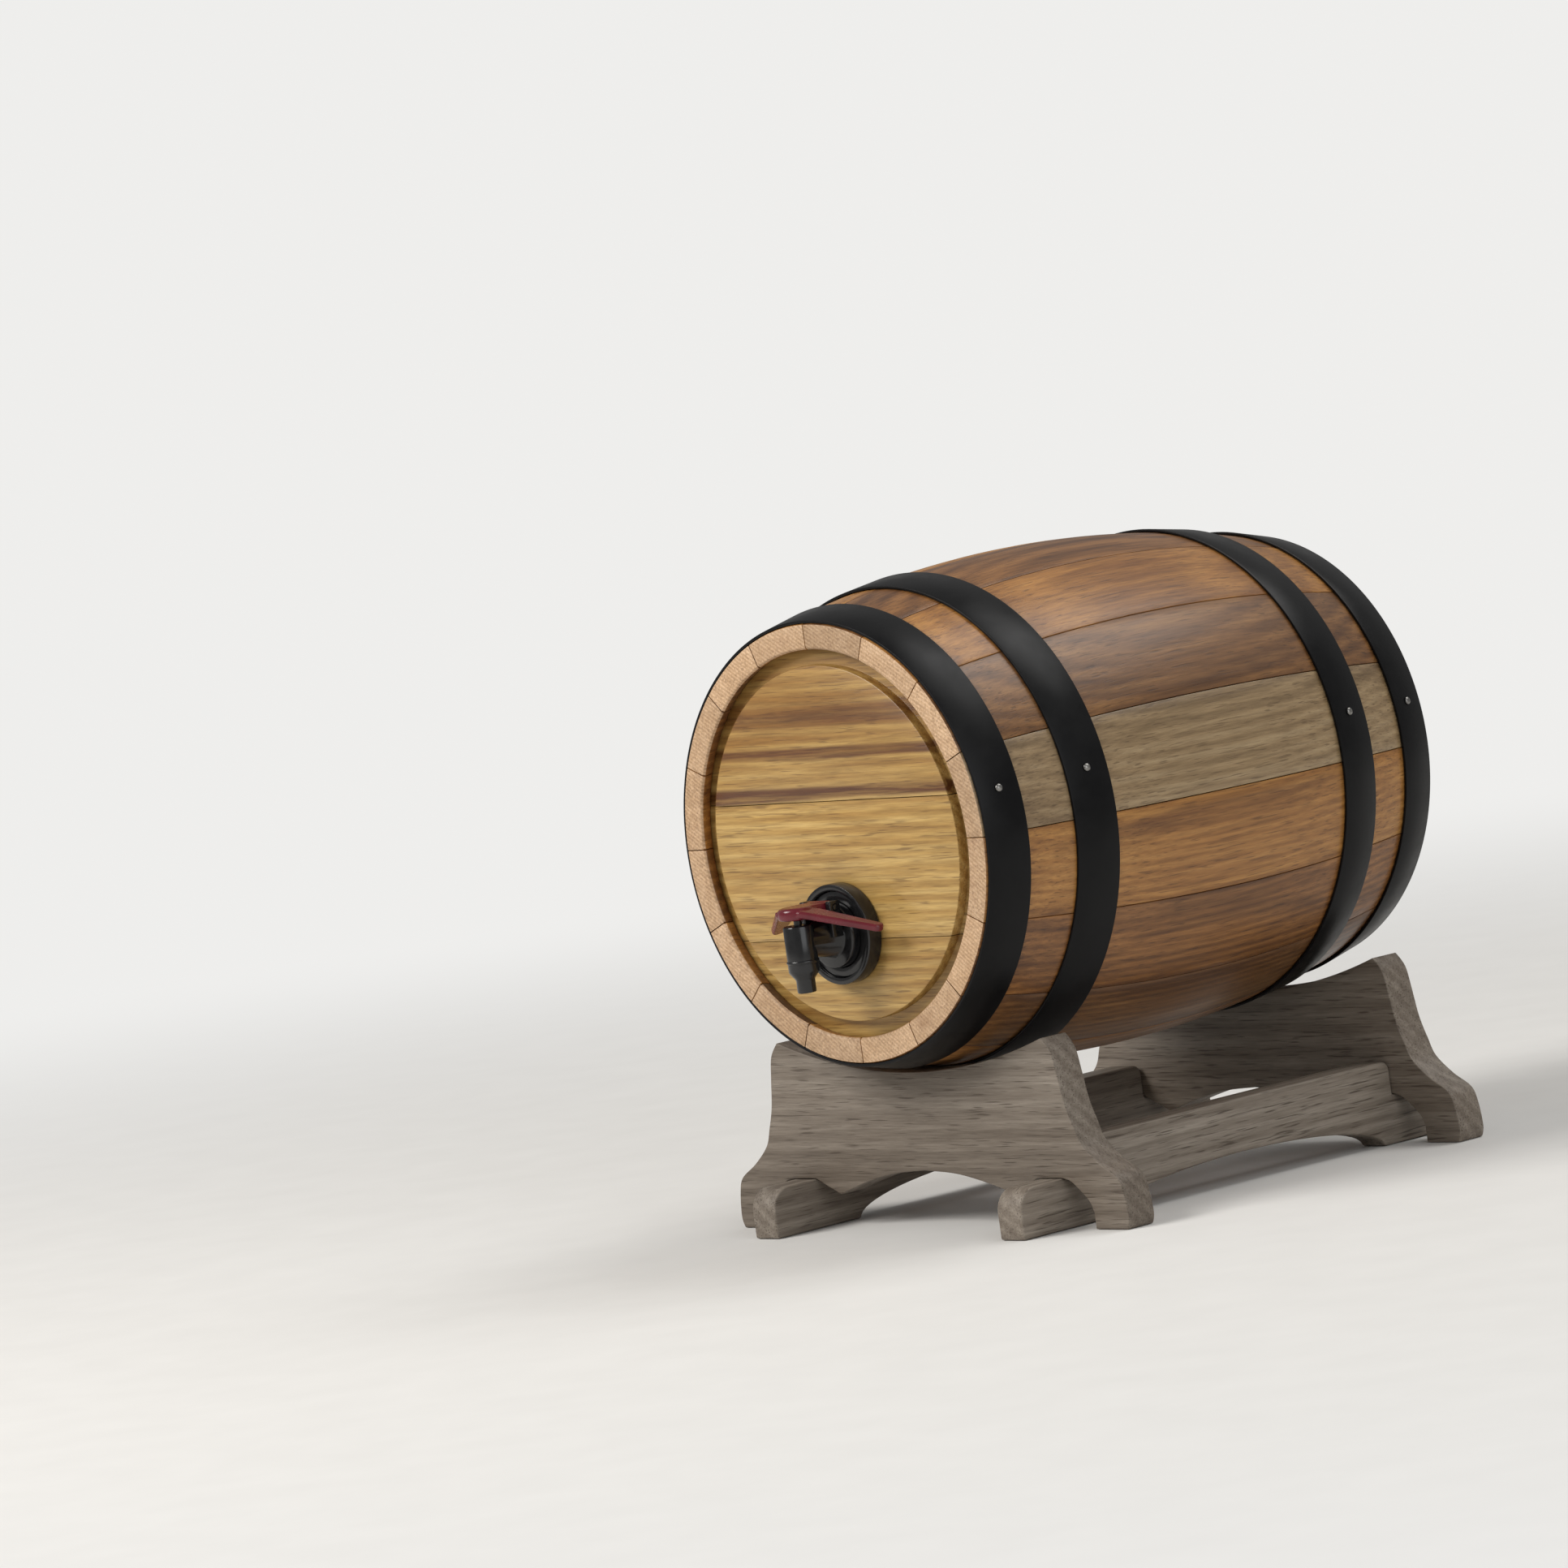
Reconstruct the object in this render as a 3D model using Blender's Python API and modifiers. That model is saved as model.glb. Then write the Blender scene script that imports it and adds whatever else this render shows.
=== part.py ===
"""Small oak wine cask on a cradle stand, with a bag tap in its front head and a lid that lifts out behind.

Lengths are in metres. The cask lies along Y, its tapped head faces -Y, X is to the right and Z is up.
The cask pieces are placed from cask_frame, on the cask's axis at the front stave ends, and the tap pieces
from tap_frame, on the tap's own axis in the same plane. The stand pieces are placed from stand_frame.
"""
import math

import bmesh
import bpy

# Cask
CASK_LENGTH = 0.250
END_RADIUS = 0.088
BULGE_RADIUS = 0.103
STAVE_COUNT = 16
STAVE_THICKNESS = 0.0105
STAVE_GAP = 0.0003
CHIME_CHAMFER = 0.0012
STAVE_SPANS = 12
STAVE_ARC_STEPS = 3

# Clearance between pieces that touch, the overrun of every cutter, and how near points are made one
SEAT_GAP = 0.0003
OVERRUN = 0.002
MERGE_DISTANCE = 0.00001

# Front head, let into a groove in the staves, with a raised panel
HEAD_PANEL_RADIUS = 0.0715
HEAD_PANEL_SETBACK = 0.0015
HEAD_FLANGE_DEPTH = 0.006
HEAD_FLANGE_THICKNESS = 0.006
CROZE_DEPTH = 0.003
PANEL_ROUND = 0.0005
HEAD_UPPER_JOINT = 0.017
TAP_TO_LOWER_JOINT = 0.003
BOARD_GAP = 0.0003
TURNED_STEPS = 56

# Hoops
HOOP_THICKNESS = 0.0012
END_HOOP_WIDTH = 0.0185
END_HOOP_SETBACK = 0.0006
QUARTER_HOOP_WIDTH = 0.020
QUARTER_HOOP_SETBACK = 0.041
HOOP_STEPS = 56

# Tacks that pin the hoops to one stave
TACK_SHANK_RADIUS = 0.0008
TACK_HEAD_RADIUS = 0.0016
TACK_HEAD_HEIGHT = 0.0009
TACK_LENGTH = 0.006
TACK_STEPS = 10

# Rear lid
LID_THICKNESS = 0.010
LID_SETBACK = 0.003
LID_CLEARANCE = 0.0007
LID_ROUND = 0.001
BATTEN_WIDTH = 0.014
BATTEN_THICKNESS = 0.007
BATTEN_LENGTH = 0.110
BATTEN_OFFSET = 0.034
BATTEN_BEVEL = 0.001

# Cleats inside the cask, with the threaded inserts that take the thumbscrews
SCREW_OFFSET = 0.068
CLEAT_INNER = 0.059
CLEAT_LENGTH = 0.020
CLEAT_HEIGHT = 0.030
INSERT_RADIUS = 0.0035
INSERT_LENGTH = 0.011
SCREW_RADIUS = 0.002
SCREW_LENGTH = 0.021
KNOB_RADIUS = 0.008
KNOB_HEIGHT = 0.008
KNOB_FLUTE_DEPTH = 0.0005
KNOB_FLUTES = 8
KNOB_STEPS = 40
SMALL_STEPS = 20

# Bag, part full, lying in the lower half of the cask
BAG_TOP = -0.006
BAG_REAR_CLEARANCE = 0.045
BAG_CLEARANCE = 0.0005
BAG_ROUND = 0.014
BAG_ROUND_SEGMENTS = 2
BAG_STEPS = 28

# Tap gland, through the front head
TAP_DROP = 0.0355
GLAND_BORE = 0.0135
GLAND_WALL = 0.0026
GLAND_FLANGE_RADIUS = 0.026
GLAND_FLANGE_THICKNESS = 0.002
GLAND_LIP_RADIUS = 0.0172
GLAND_LIP_THICKNESS = 0.002
GLAND_HOLE_CLEARANCE = 0.0004
COLLAR_RADIUS = 0.0202
COLLAR_THICKNESS = 0.0029
COLLAR_RIM = 0.0014
TAP_STEPS = 32

# Tap body: a barrel along Y, then an upright chamber with the spout below it
BARREL_LENGTH = 0.020
BARREL_FACE = 0.008
NECK_RADIUS = 0.0085
NECK_END_RADIUS = 0.0056
CHAMBER_REACH = 0.0240
CHAMBER_RADIUS = 0.0062
CHAMBER_TOP = 0.0068
CHAMBER_BOTTOM = 0.0115
CHAMBER_ROUND = 0.0005
RING_RADIUS = 0.0066
RING_DROP = 0.0080
RING_HEIGHT = 0.0010
SPOUT_RADIUS = 0.0038
SPOUT_SHOULDER = 0.0145
SPOUT_DROP = 0.020
INLET_RADIUS = 0.0044
VALVE_BORE = 0.0046
VALVE_BORE_DROP = 0.006
WEB_THICKNESS = 0.002
WEB_HOLE = 0.0026
OUTLET_BORE = 0.0042
OUTLET_DROP = 0.0133
SPOUT_BORE = 0.003
RING_SEAL_SETBACK = 0.0068
RING_SEAL_WIDTH = 0.003
RING_SEAL_DEPTH = 0.0022

# Tap bonnet, stem and valve seal
BONNET_FLANGE_RADIUS = 0.0052
BONNET_FLANGE_THICKNESS = 0.001
BONNET_PLUG_LENGTH = 0.0018
STEM_RADIUS = 0.0016
STEM_DISC_RADIUS = 0.0036
STEM_DISC_THICKNESS = 0.0012
VALVE_SEAL_THICKNESS = 0.001

# Tap lever and its pin
PIVOT_REACH = 0.0113
PIVOT_HEIGHT = 0.0118
PIN_RADIUS = 0.0012
EAR_INNER = 0.0065
EAR_THICKNESS = 0.0025
EAR_HALF_DEPTH = 0.0028
KNUCKLE_RADIUS = 0.0028
LEVER_LIFT = 0.0025
LEVER_THICKNESS = 0.005
LEVER_CAP_RADIUS = 0.0075
LEVER_EDGE = 0.0009
WING_REACH = 0.0335
WING_ROOT = 0.006
WING_ROOT_WIDTH = 0.011
WING_TIP_WIDTH = 0.006
WING_THICKNESS = 0.003
WING_SWEEP = 0.0150
WING_FALL = 20.0

# Stand
BOARD_THICKNESS = 0.014
BOARD_SETBACK = 0.024
CRADLE_SEAT_HEIGHT = 0.0635
CRADLE_ARC_RADIUS = 0.248
CRADLE_TIP_INSET = 0.0365
CRADLE_HALF_WIDTH = 0.115
CRADLE_ARC_STEPS = 9
FOOT_WIDTH = 0.0194
FOOT_NOTCH_HEIGHT = 0.0065
CUSP_TO_RAIL = 0.0143
CUSP_HEIGHT = 0.0138
ARCH_HEIGHT = 0.0235
RAIL_INSET = 0.042
RAIL_THICKNESS = 0.014
RAIL_TOE_HEIGHT = 0.020
RAIL_TOE_ROUND = 0.009
RAIL_HEIGHT = 0.034
RAIL_SHOULDER_ROUND = 0.004
RAIL_FOOT_LENGTH = 0.046
RAIL_ARCH_HEIGHT = 0.0125
RAIL_ARCH_STEPS = 10
ROUND_STEPS = 5
CURVE_STEPS = 2
EDGE_BEVEL = 0.0006
DOWEL_RADIUS = 0.003
DOWEL_LENGTH = 0.019
DOWEL_SIDES = 16

# The cradle's side, as shares of its half width and of its height at the tip
CRADLE_SIDE_SHARES = (
    (0.722, 0.925),
    (0.739, 0.808),
    (0.757, 0.656),
    (0.785, 0.538),
    (0.814, 0.441),
    (0.887, 0.346),
    (0.966, 0.272),
    (0.990, 0.190),
    (1.000, 0.060),
    (0.988, 0.000),
)
# The notch outside the rail, as shares of the way from the rail's clearance to the foot and of its height
NOTCH_SHARES = ((0.30, 0.90), (0.62, 0.62), (0.90, 0.30))
# The central arch, as shares of the cusp's offset and of the rise from cusp to crown
ARCH_SHARES = ((0.70, 0.48), (0.36, 0.86))

# Worked out from the sizes above
RADIUS_RISE = BULGE_RADIUS - END_RADIUS
FRONT_REACH = CHAMBER_REACH + LEVER_CAP_RADIUS
REAR_REACH = KNOB_HEIGHT + SEAT_GAP - LID_SETBACK
FRONT_PLANE = (FRONT_REACH - CASK_LENGTH - REAR_REACH) / 2
HEAD_BACK = HEAD_FLANGE_DEPTH + HEAD_FLANGE_THICKNESS
TAP_HEIGHT = -TAP_DROP
HEAD_LOWER_JOINT = TAP_HEIGHT - TAP_TO_LOWER_JOINT
CRADLE_TIP_OFFSET = CRADLE_HALF_WIDTH - CRADLE_TIP_INSET
FOOT_INNER = CRADLE_HALF_WIDTH - FOOT_WIDTH
RAIL_OFFSET = CRADLE_HALF_WIDTH - RAIL_INSET
CUSP_OFFSET = RAIL_OFFSET - RAIL_THICKNESS / 2 - CUSP_TO_RAIL


def cask_radius(y):
    """Outer radius of the bare staves at a distance y behind the front stave ends."""
    share = 2 * y / CASK_LENGTH - 1
    return BULGE_RADIUS - RADIUS_RISE * share * share


def cask_slope(y):
    """How fast that radius grows with y."""
    share = 2 * y / CASK_LENGTH - 1
    return -4 * RADIUS_RISE * share / CASK_LENGTH


def bore_radius(y):
    """Inner radius of the staves at y."""
    return cask_radius(y) - STAVE_THICKNESS


HEAD_FLANGE_RADIUS = bore_radius(HEAD_BACK) + CROZE_DEPTH - SEAT_GAP
LID_RADIUS = bore_radius(CASK_LENGTH) - LID_CLEARANCE
AXIS_HEIGHT = CRADLE_SEAT_HEIGHT + SEAT_GAP + cask_radius(BOARD_SETBACK + BOARD_THICKNESS)

PALETTE = {
    "stave_gold": ((0.42, 0.185, 0.045), 0.5, 0.0),
    "stave_amber": ((0.33, 0.125, 0.030), 0.5, 0.0),
    "stave_brown": ((0.21, 0.075, 0.022), 0.5, 0.0),
    "stave_pale": ((0.40, 0.27, 0.15), 0.55, 0.0),
    "head_oak": ((0.50, 0.27, 0.075), 0.5, 0.0),
    "lid_oak": ((0.44, 0.24, 0.075), 0.55, 0.0),
    "stand_wood": ((0.46, 0.40, 0.34), 0.65, 0.0),
    "inner_wood": ((0.42, 0.28, 0.15), 0.65, 0.0),
    "hoop_black": ((0.012, 0.012, 0.013), 0.42, 1.0),
    "tack_steel": ((0.30, 0.29, 0.27), 0.35, 1.0),
    "tap_black": ((0.008, 0.008, 0.009), 0.22, 0.0),
    "lever_burgundy": ((0.11, 0.008, 0.016), 0.3, 0.0),
    "seal_rubber": ((0.03, 0.03, 0.03), 0.8, 0.0),
    "pin_plastic": ((0.02, 0.02, 0.02), 0.4, 0.0),
    "brass": ((0.55, 0.38, 0.12), 0.32, 1.0),
    "bag_film": ((0.58, 0.58, 0.60), 0.3, 0.9),
}


def clear_scene():
    for obj in list(bpy.data.objects):
        bpy.data.objects.remove(obj, do_unlink=True)


def new_collection(name):
    collection = bpy.data.collections.new(name)
    bpy.context.scene.collection.children.link(collection)
    return collection


def new_material(name):
    colour, roughness, metallic = PALETTE[name]
    material = bpy.data.materials.new(name)
    material.use_nodes = True
    shader = material.node_tree.nodes["Principled BSDF"]
    shader.inputs["Base Color"].default_value = (*colour, 1.0)
    shader.inputs["Roughness"].default_value = roughness
    shader.inputs["Metallic"].default_value = metallic
    return material


clear_scene()
PARTS = new_collection("oak_wine_cask_dispenser")
CUTTERS = new_collection("cutters")
MATERIALS = {name: new_material(name) for name in PALETTE}


def new_frame(name, location, parent=None):
    frame = bpy.data.objects.new(name, None)
    frame.location = location
    frame.parent = parent
    PARTS.objects.link(frame)
    return frame


def place(obj, parent, location=(0, 0, 0), rotation=(0, 0, 0)):
    obj.parent = parent
    obj.location = location
    obj.rotation_euler = rotation
    return obj


def as_part(obj, material):
    PARTS.objects.link(obj)
    obj.data.materials.append(MATERIALS[material])
    return obj


def as_cutter(obj):
    CUTTERS.objects.link(obj)
    obj.hide_render = True
    obj.display_type = "WIRE"
    return obj


def boolean(obj, other, operation):
    modifier = obj.modifiers.new(operation.lower(), "BOOLEAN")
    modifier.operation = operation
    modifier.solver = "EXACT"
    modifier.object = other
    return modifier


def cut(obj, *others):
    for other in others:
        boolean(obj, other, "DIFFERENCE")


def join(obj, *others):
    for other in others:
        boolean(obj, other, "UNION")


def split_faces(obj):
    """Many-sided faces split into triangles, so that each is exactly flat before it is cut."""
    obj.modifiers.new("split", "TRIANGULATE")


def soften(obj, width, segments=1):
    modifier = obj.modifiers.new("edges", "BEVEL")
    modifier.width = width
    modifier.segments = segments
    modifier.limit_method = "ANGLE"
    modifier.angle_limit = math.radians(50)
    return modifier


def turned(name, profile, steps, closed=False):
    """A profile of (radius, height) points turned about Z, running down its outer side."""
    mesh = bpy.data.meshes.new(name)
    points = [(radius, 0, height) for radius, height in profile]
    edges = [(i, i + 1) for i in range(len(points) - 1)]
    if closed:
        edges.append((len(points) - 1, 0))
    mesh.from_pydata(points, edges, [])
    obj = bpy.data.objects.new(name, mesh)
    screw = obj.modifiers.new("turn", "SCREW")
    screw.axis = "Z"
    screw.steps = steps
    screw.render_steps = steps
    screw.use_merge_vertices = True
    screw.merge_threshold = MERGE_DISTANCE
    screw.use_smooth_shade = True
    return obj


def disc(name, radius, bottom, top, steps=SMALL_STEPS):
    """A solid cylinder about Z."""
    return turned(name, [(0, top), (radius, top), (radius, bottom), (0, bottom)], steps)


def ring(name, outer, inner, bottom, top, steps=SMALL_STEPS):
    """A plain ring about Z."""
    profile = [(inner, top), (outer, top), (outer, bottom), (inner, bottom)]
    return turned(name, profile, steps, closed=True)


def block(name, low, high):
    """A box between two corners, with its origin at its middle."""
    mesh = bpy.data.meshes.new(name)
    shape = bmesh.new()
    bmesh.ops.create_cube(shape, size=1)
    size = [b - a for a, b in zip(low, high)]
    bmesh.ops.scale(shape, vec=size, verts=shape.verts)
    middle = [(a + b) / 2 for a, b in zip(low, high)]
    bmesh.ops.translate(shape, vec=middle, verts=shape.verts)
    shape.to_mesh(mesh)
    shape.free()
    return bpy.data.objects.new(name, mesh)


def plate(name, outline, thickness):
    """A flat outline in XY, filled and given its thickness about the plane, as a mesh."""
    curve = bpy.data.curves.new(name, "CURVE")
    curve.dimensions = "2D"
    curve.fill_mode = "BOTH"
    curve.extrude = thickness / 2
    spline = curve.splines.new("POLY")
    spline.points.add(len(outline) - 1)
    for point, (x, y) in zip(spline.points, outline):
        point.co = (x, y, 0, 1)
    spline.use_cyclic_u = True
    drawn = bpy.data.objects.new(name + "_outline", curve)
    CUTTERS.objects.link(drawn)
    bpy.context.view_layer.update()
    graph = bpy.context.evaluated_depsgraph_get()
    mesh = bpy.data.meshes.new_from_object(drawn.evaluated_get(graph))
    bpy.data.objects.remove(drawn, do_unlink=True)
    shape = bmesh.new()
    shape.from_mesh(mesh)
    bmesh.ops.remove_doubles(shape, verts=shape.verts, dist=MERGE_DISTANCE)
    bmesh.ops.dissolve_limit(
        shape, angle_limit=math.radians(1), verts=shape.verts, edges=shape.edges
    )
    bmesh.ops.recalc_face_normals(shape, faces=shape.faces)
    shape.to_mesh(mesh)
    shape.free()
    mesh.name = name
    return bpy.data.objects.new(name, mesh)


def smooth_line(points, steps=CURVE_STEPS):
    """Points on a smooth line through the given ones."""
    line = []
    last = len(points) - 1
    for i in range(last):
        before = points[max(i - 1, 0)]
        start, end = points[i], points[i + 1]
        after = points[min(i + 2, last)]
        for step in range(steps):
            t = step / steps
            line.append(
                tuple(
                    0.5
                    * (
                        2 * b
                        + (c - a) * t
                        + (2 * a - 5 * b + 4 * c - d) * t * t
                        + (3 * b - a - 3 * c + d) * t * t * t
                    )
                    for a, b, c, d in zip(before, start, end, after)
                )
            )
    line.append(points[-1])
    return line


def corner(centre, radius, start, end, steps=ROUND_STEPS):
    """Points on an arc, its angles in degrees."""
    line = []
    for step in range(steps + 1):
        angle = math.radians(start + (end - start) * step / steps)
        line.append((centre[0] + radius * math.cos(angle), centre[1] + radius * math.sin(angle)))
    return line


ALONG_Y = (math.radians(-90), 0, 0)
UPRIGHT = (math.radians(90), 0, 0)

STAND_FRAME = new_frame("stand_frame", (0, FRONT_PLANE, 0))
CASK_FRAME = new_frame("cask_frame", (0, FRONT_PLANE, AXIS_HEIGHT))
TAP_FRAME = new_frame("tap_frame", (0, 0, TAP_HEIGHT), CASK_FRAME)
LID_FRAME = new_frame("lid_frame", (0, CASK_LENGTH, 0), CASK_FRAME)


# Cradle boards: one outline, with a shallow seat, waisted sides, feet, notches over the rails and an arch.
def cradle_half():
    """The right half of the outline, from the middle of the seat round to the crown of the arch."""
    seat = []
    tip_angle = math.asin(CRADLE_TIP_OFFSET / CRADLE_ARC_RADIUS)
    for step in range(CRADLE_ARC_STEPS + 1):
        angle = tip_angle * step / CRADLE_ARC_STEPS
        rise = CRADLE_ARC_RADIUS * (1 - math.cos(angle))
        seat.append((CRADLE_ARC_RADIUS * math.sin(angle), CRADLE_SEAT_HEIGHT + rise))
    tip_height = seat[-1][1]
    side = [seat[-1]]
    side += [(x * CRADLE_HALF_WIDTH, z * tip_height) for x, z in CRADLE_SIDE_SHARES]
    notch_top = RAIL_TOE_HEIGHT + SEAT_GAP
    notch_side = RAIL_OFFSET + RAIL_THICKNESS / 2
    notch = [(FOOT_INNER, 0), (FOOT_INNER, FOOT_NOTCH_HEIGHT)]
    for along, up in reversed(NOTCH_SHARES):
        x = notch_side + along * (FOOT_INNER - notch_side)
        notch.append((x, FOOT_NOTCH_HEIGHT + up * (notch_top - FOOT_NOTCH_HEIGHT)))
    notch.append((notch_side, notch_top))
    inner = RAIL_OFFSET - RAIL_THICKNESS / 2
    rise = ARCH_HEIGHT - CUSP_HEIGHT
    arch = [(CUSP_OFFSET, CUSP_HEIGHT)]
    arch += [(x * CUSP_OFFSET, CUSP_HEIGHT + z * rise) for x, z in ARCH_SHARES]
    arch.append((0, ARCH_HEIGHT))
    return seat + smooth_line(side)[1:] + notch + [(inner, notch_top)] + smooth_line(arch)


def cradle_outline():
    right = cradle_half()
    left = [(-x, z) for x, z in reversed(right[1:-1])]
    return right + left


cradle_mesh = plate("cradle_board", cradle_outline(), BOARD_THICKNESS).data
REAR_BOARD_SETBACK = CASK_LENGTH - BOARD_SETBACK - BOARD_THICKNESS
dowel_bottom = RAIL_TOE_HEIGHT + SEAT_GAP / 2 - DOWEL_LENGTH / 2
dowel_top = dowel_bottom + DOWEL_LENGTH
dowel_hole = DOWEL_RADIUS + SEAT_GAP


# Rails: set on edge, with a low rounded toe past each board, a higher middle and an arch below it.
def rail_outline():
    """The rail's side, along Y from its front end and up from the floor."""
    half = CASK_LENGTH / 2
    step_y = BOARD_SETBACK + BOARD_THICKNESS + SEAT_GAP
    front = [(0, 0)]
    toe_centre = (RAIL_TOE_ROUND, RAIL_TOE_HEIGHT - RAIL_TOE_ROUND)
    front += corner(toe_centre, RAIL_TOE_ROUND, 180, 90)
    front.append((step_y, RAIL_TOE_HEIGHT))
    shoulder = (step_y + RAIL_SHOULDER_ROUND, RAIL_HEIGHT - RAIL_SHOULDER_ROUND)
    front += corner(shoulder, RAIL_SHOULDER_ROUND, 180, 90)
    back = [(CASK_LENGTH - y, z) for y, z in reversed(front)]
    span = half - RAIL_FOOT_LENGTH
    arch = []
    for step in range(RAIL_ARCH_STEPS + 1):
        share = 1 - 2 * step / RAIL_ARCH_STEPS
        arch.append((half + span * share, RAIL_ARCH_HEIGHT * math.sqrt(1 - share * share)))
    return front + back + arch


rail_mesh = plate("rail", rail_outline(), RAIL_THICKNESS).data

for side, side_name in ((-1, "left"), (1, "right")):
    rail = as_part(bpy.data.objects.new("rail_" + side_name, rail_mesh.copy()), "stand_wood")
    place(rail, STAND_FRAME, (side * RAIL_OFFSET, 0, 0), (math.radians(90), 0, math.radians(90)))
    split_faces(rail)
    for setback in (BOARD_SETBACK, REAR_BOARD_SETBACK):
        hole_top = RAIL_TOE_HEIGHT + OVERRUN
        hole = disc("rail_hole", dowel_hole, dowel_bottom - SEAT_GAP, hole_top, DOWEL_SIDES)
        as_cutter(hole)
        place(hole, STAND_FRAME, (side * RAIL_OFFSET, setback + BOARD_THICKNESS / 2, 0))
        cut(rail, hole)
    soften(rail, EDGE_BEVEL)

for setback, end_name in ((BOARD_SETBACK, "front"), (REAR_BOARD_SETBACK, "rear")):
    board = as_part(bpy.data.objects.new("cradle_" + end_name, cradle_mesh.copy()), "stand_wood")
    middle_y = setback + BOARD_THICKNESS / 2
    place(board, STAND_FRAME, (0, middle_y, 0), UPRIGHT)
    soften(board, EDGE_BEVEL)
    split_faces(board)
    for side, side_name in ((-1, "left"), (1, "right")):
        hole_bottom = RAIL_TOE_HEIGHT - OVERRUN
        hole = disc("cradle_hole", dowel_hole, hole_bottom, dowel_top + SEAT_GAP, DOWEL_SIDES)
        as_cutter(hole)
        place(hole, STAND_FRAME, (side * RAIL_OFFSET, middle_y, 0))
        cut(board, hole)
        name = "dowel_" + end_name + "_" + side_name
        dowel = as_part(disc(name, DOWEL_RADIUS, dowel_bottom, dowel_top, DOWEL_SIDES), "inner_wood")
        place(dowel, STAND_FRAME, (side * RAIL_OFFSET, middle_y, 0))


# Staves: one section swept through a sixteenth of a turn, with the groove for the front head.
def stave_section():
    """The stave's section through the cask's axis, as (radius, distance behind the front)."""
    outer = []
    for step in range(STAVE_SPANS + 1):
        y = CASK_LENGTH * step / STAVE_SPANS
        outer.append((cask_radius(y), y))
    croze_front = HEAD_FLANGE_DEPTH - SEAT_GAP
    croze_back = HEAD_BACK + SEAT_GAP
    croze_bottom = HEAD_FLANGE_RADIUS + SEAT_GAP
    inner = [
        (bore_radius(CASK_LENGTH) + CHIME_CHAMFER, CASK_LENGTH),
        (bore_radius(CASK_LENGTH - CHIME_CHAMFER), CASK_LENGTH - CHIME_CHAMFER),
    ]
    for step in range(STAVE_SPANS - 1, 0, -1):
        y = CASK_LENGTH * step / STAVE_SPANS
        inner.append((bore_radius(y), y))
    inner += [
        (bore_radius(croze_back), croze_back),
        (croze_bottom, croze_back),
        (croze_bottom, croze_front),
        (bore_radius(croze_front), croze_front),
        (bore_radius(CHIME_CHAMFER), CHIME_CHAMFER),
        (bore_radius(0) + CHIME_CHAMFER, 0),
    ]
    return outer + inner


def stave_mesh():
    """One stave about +X, spun about the cask's axis."""
    pitch = 2 * math.pi / STAVE_COUNT
    sweep = pitch - STAVE_GAP / BULGE_RADIUS
    shape = bmesh.new()
    start = sweep / 2
    verts = []
    for radius, y in stave_section():
        verts.append(shape.verts.new((radius * math.cos(start), y, radius * math.sin(start))))
    face = shape.faces.new(verts)
    bmesh.ops.spin(
        shape,
        geom=[face] + list(face.edges) + verts,
        cent=(0, 0, 0),
        axis=(0, 1, 0),
        angle=sweep,
        steps=STAVE_ARC_STEPS,
        use_duplicate=False,
    )
    bmesh.ops.recalc_face_normals(shape, faces=shape.faces)
    mesh = bpy.data.meshes.new("stave")
    shape.to_mesh(mesh)
    shape.free()
    mesh.shade_smooth()
    mesh.set_sharp_from_angle(angle=math.radians(30))
    return mesh


STAVE_TONES = ("pale", "brown", "gold", "amber", "gold", "brown", "amber", "gold")
STAVE_TONES += ("amber", "gold", "brown", "gold", "amber", "brown", "amber", "gold")
base_stave = stave_mesh()
staves = []
for index in range(STAVE_COUNT):
    stave = bpy.data.objects.new("stave_%02d" % (index + 1), base_stave.copy())
    as_part(stave, "stave_" + STAVE_TONES[index % len(STAVE_TONES)])
    angle = 2 * math.pi * (index + 0.5) / STAVE_COUNT
    place(stave, CASK_FRAME, (0, 0, 0), (0, -angle, 0))
    staves.append(stave)


# Hoops: plain conical bands that follow the staves.
def hoop(name, front, width):
    back = front + width
    inner_front = cask_radius(front) + SEAT_GAP
    inner_back = cask_radius(back) + SEAT_GAP
    profile = [
        (inner_back, back),
        (inner_back + HOOP_THICKNESS, back),
        (inner_front + HOOP_THICKNESS, front),
        (inner_front, front),
    ]
    band = as_part(turned(name, profile, HOOP_STEPS, closed=True), "hoop_black")
    return place(band, CASK_FRAME, (0, 0, 0), ALONG_Y)


# The tacks sit in the middle of the first stave, square to the hoop.
def tack(name, middle, band):
    lean = math.atan(cask_slope(middle))
    angle = math.pi / STAVE_COUNT
    root = cask_radius(middle) + SEAT_GAP + HOOP_THICKNESS + SEAT_GAP
    spot = (root * math.cos(angle), middle, root * math.sin(angle))
    turn = (0, math.pi / 2 - angle, 0)
    seat = new_frame(name + "_seat", spot, CASK_FRAME)
    seat.rotation_euler = turn
    head = [(0, TACK_HEAD_HEIGHT)]
    for degrees in (35, 60, 80):
        side = TACK_HEAD_RADIUS * math.sin(math.radians(degrees))
        head.append((side, TACK_HEAD_HEIGHT * math.cos(math.radians(degrees))))
    head += [(TACK_HEAD_RADIUS, 0), (TACK_SHANK_RADIUS, 0)]
    head += [(TACK_SHANK_RADIUS, -TACK_LENGTH), (0, -TACK_LENGTH)]
    pin = as_part(turned(name, head, TACK_STEPS), "tack_steel")
    tilt = (lean, 0, 0)
    place(pin, seat, (0, 0, 0), tilt)
    room_radius = TACK_SHANK_RADIUS + SEAT_GAP
    room = disc(name + "_hole", room_radius, -TACK_LENGTH - SEAT_GAP, OVERRUN, TACK_STEPS)
    as_cutter(room)
    place(room, seat, (0, 0, 0), tilt)
    cut(band, room)
    cut(staves[0], room)


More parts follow.
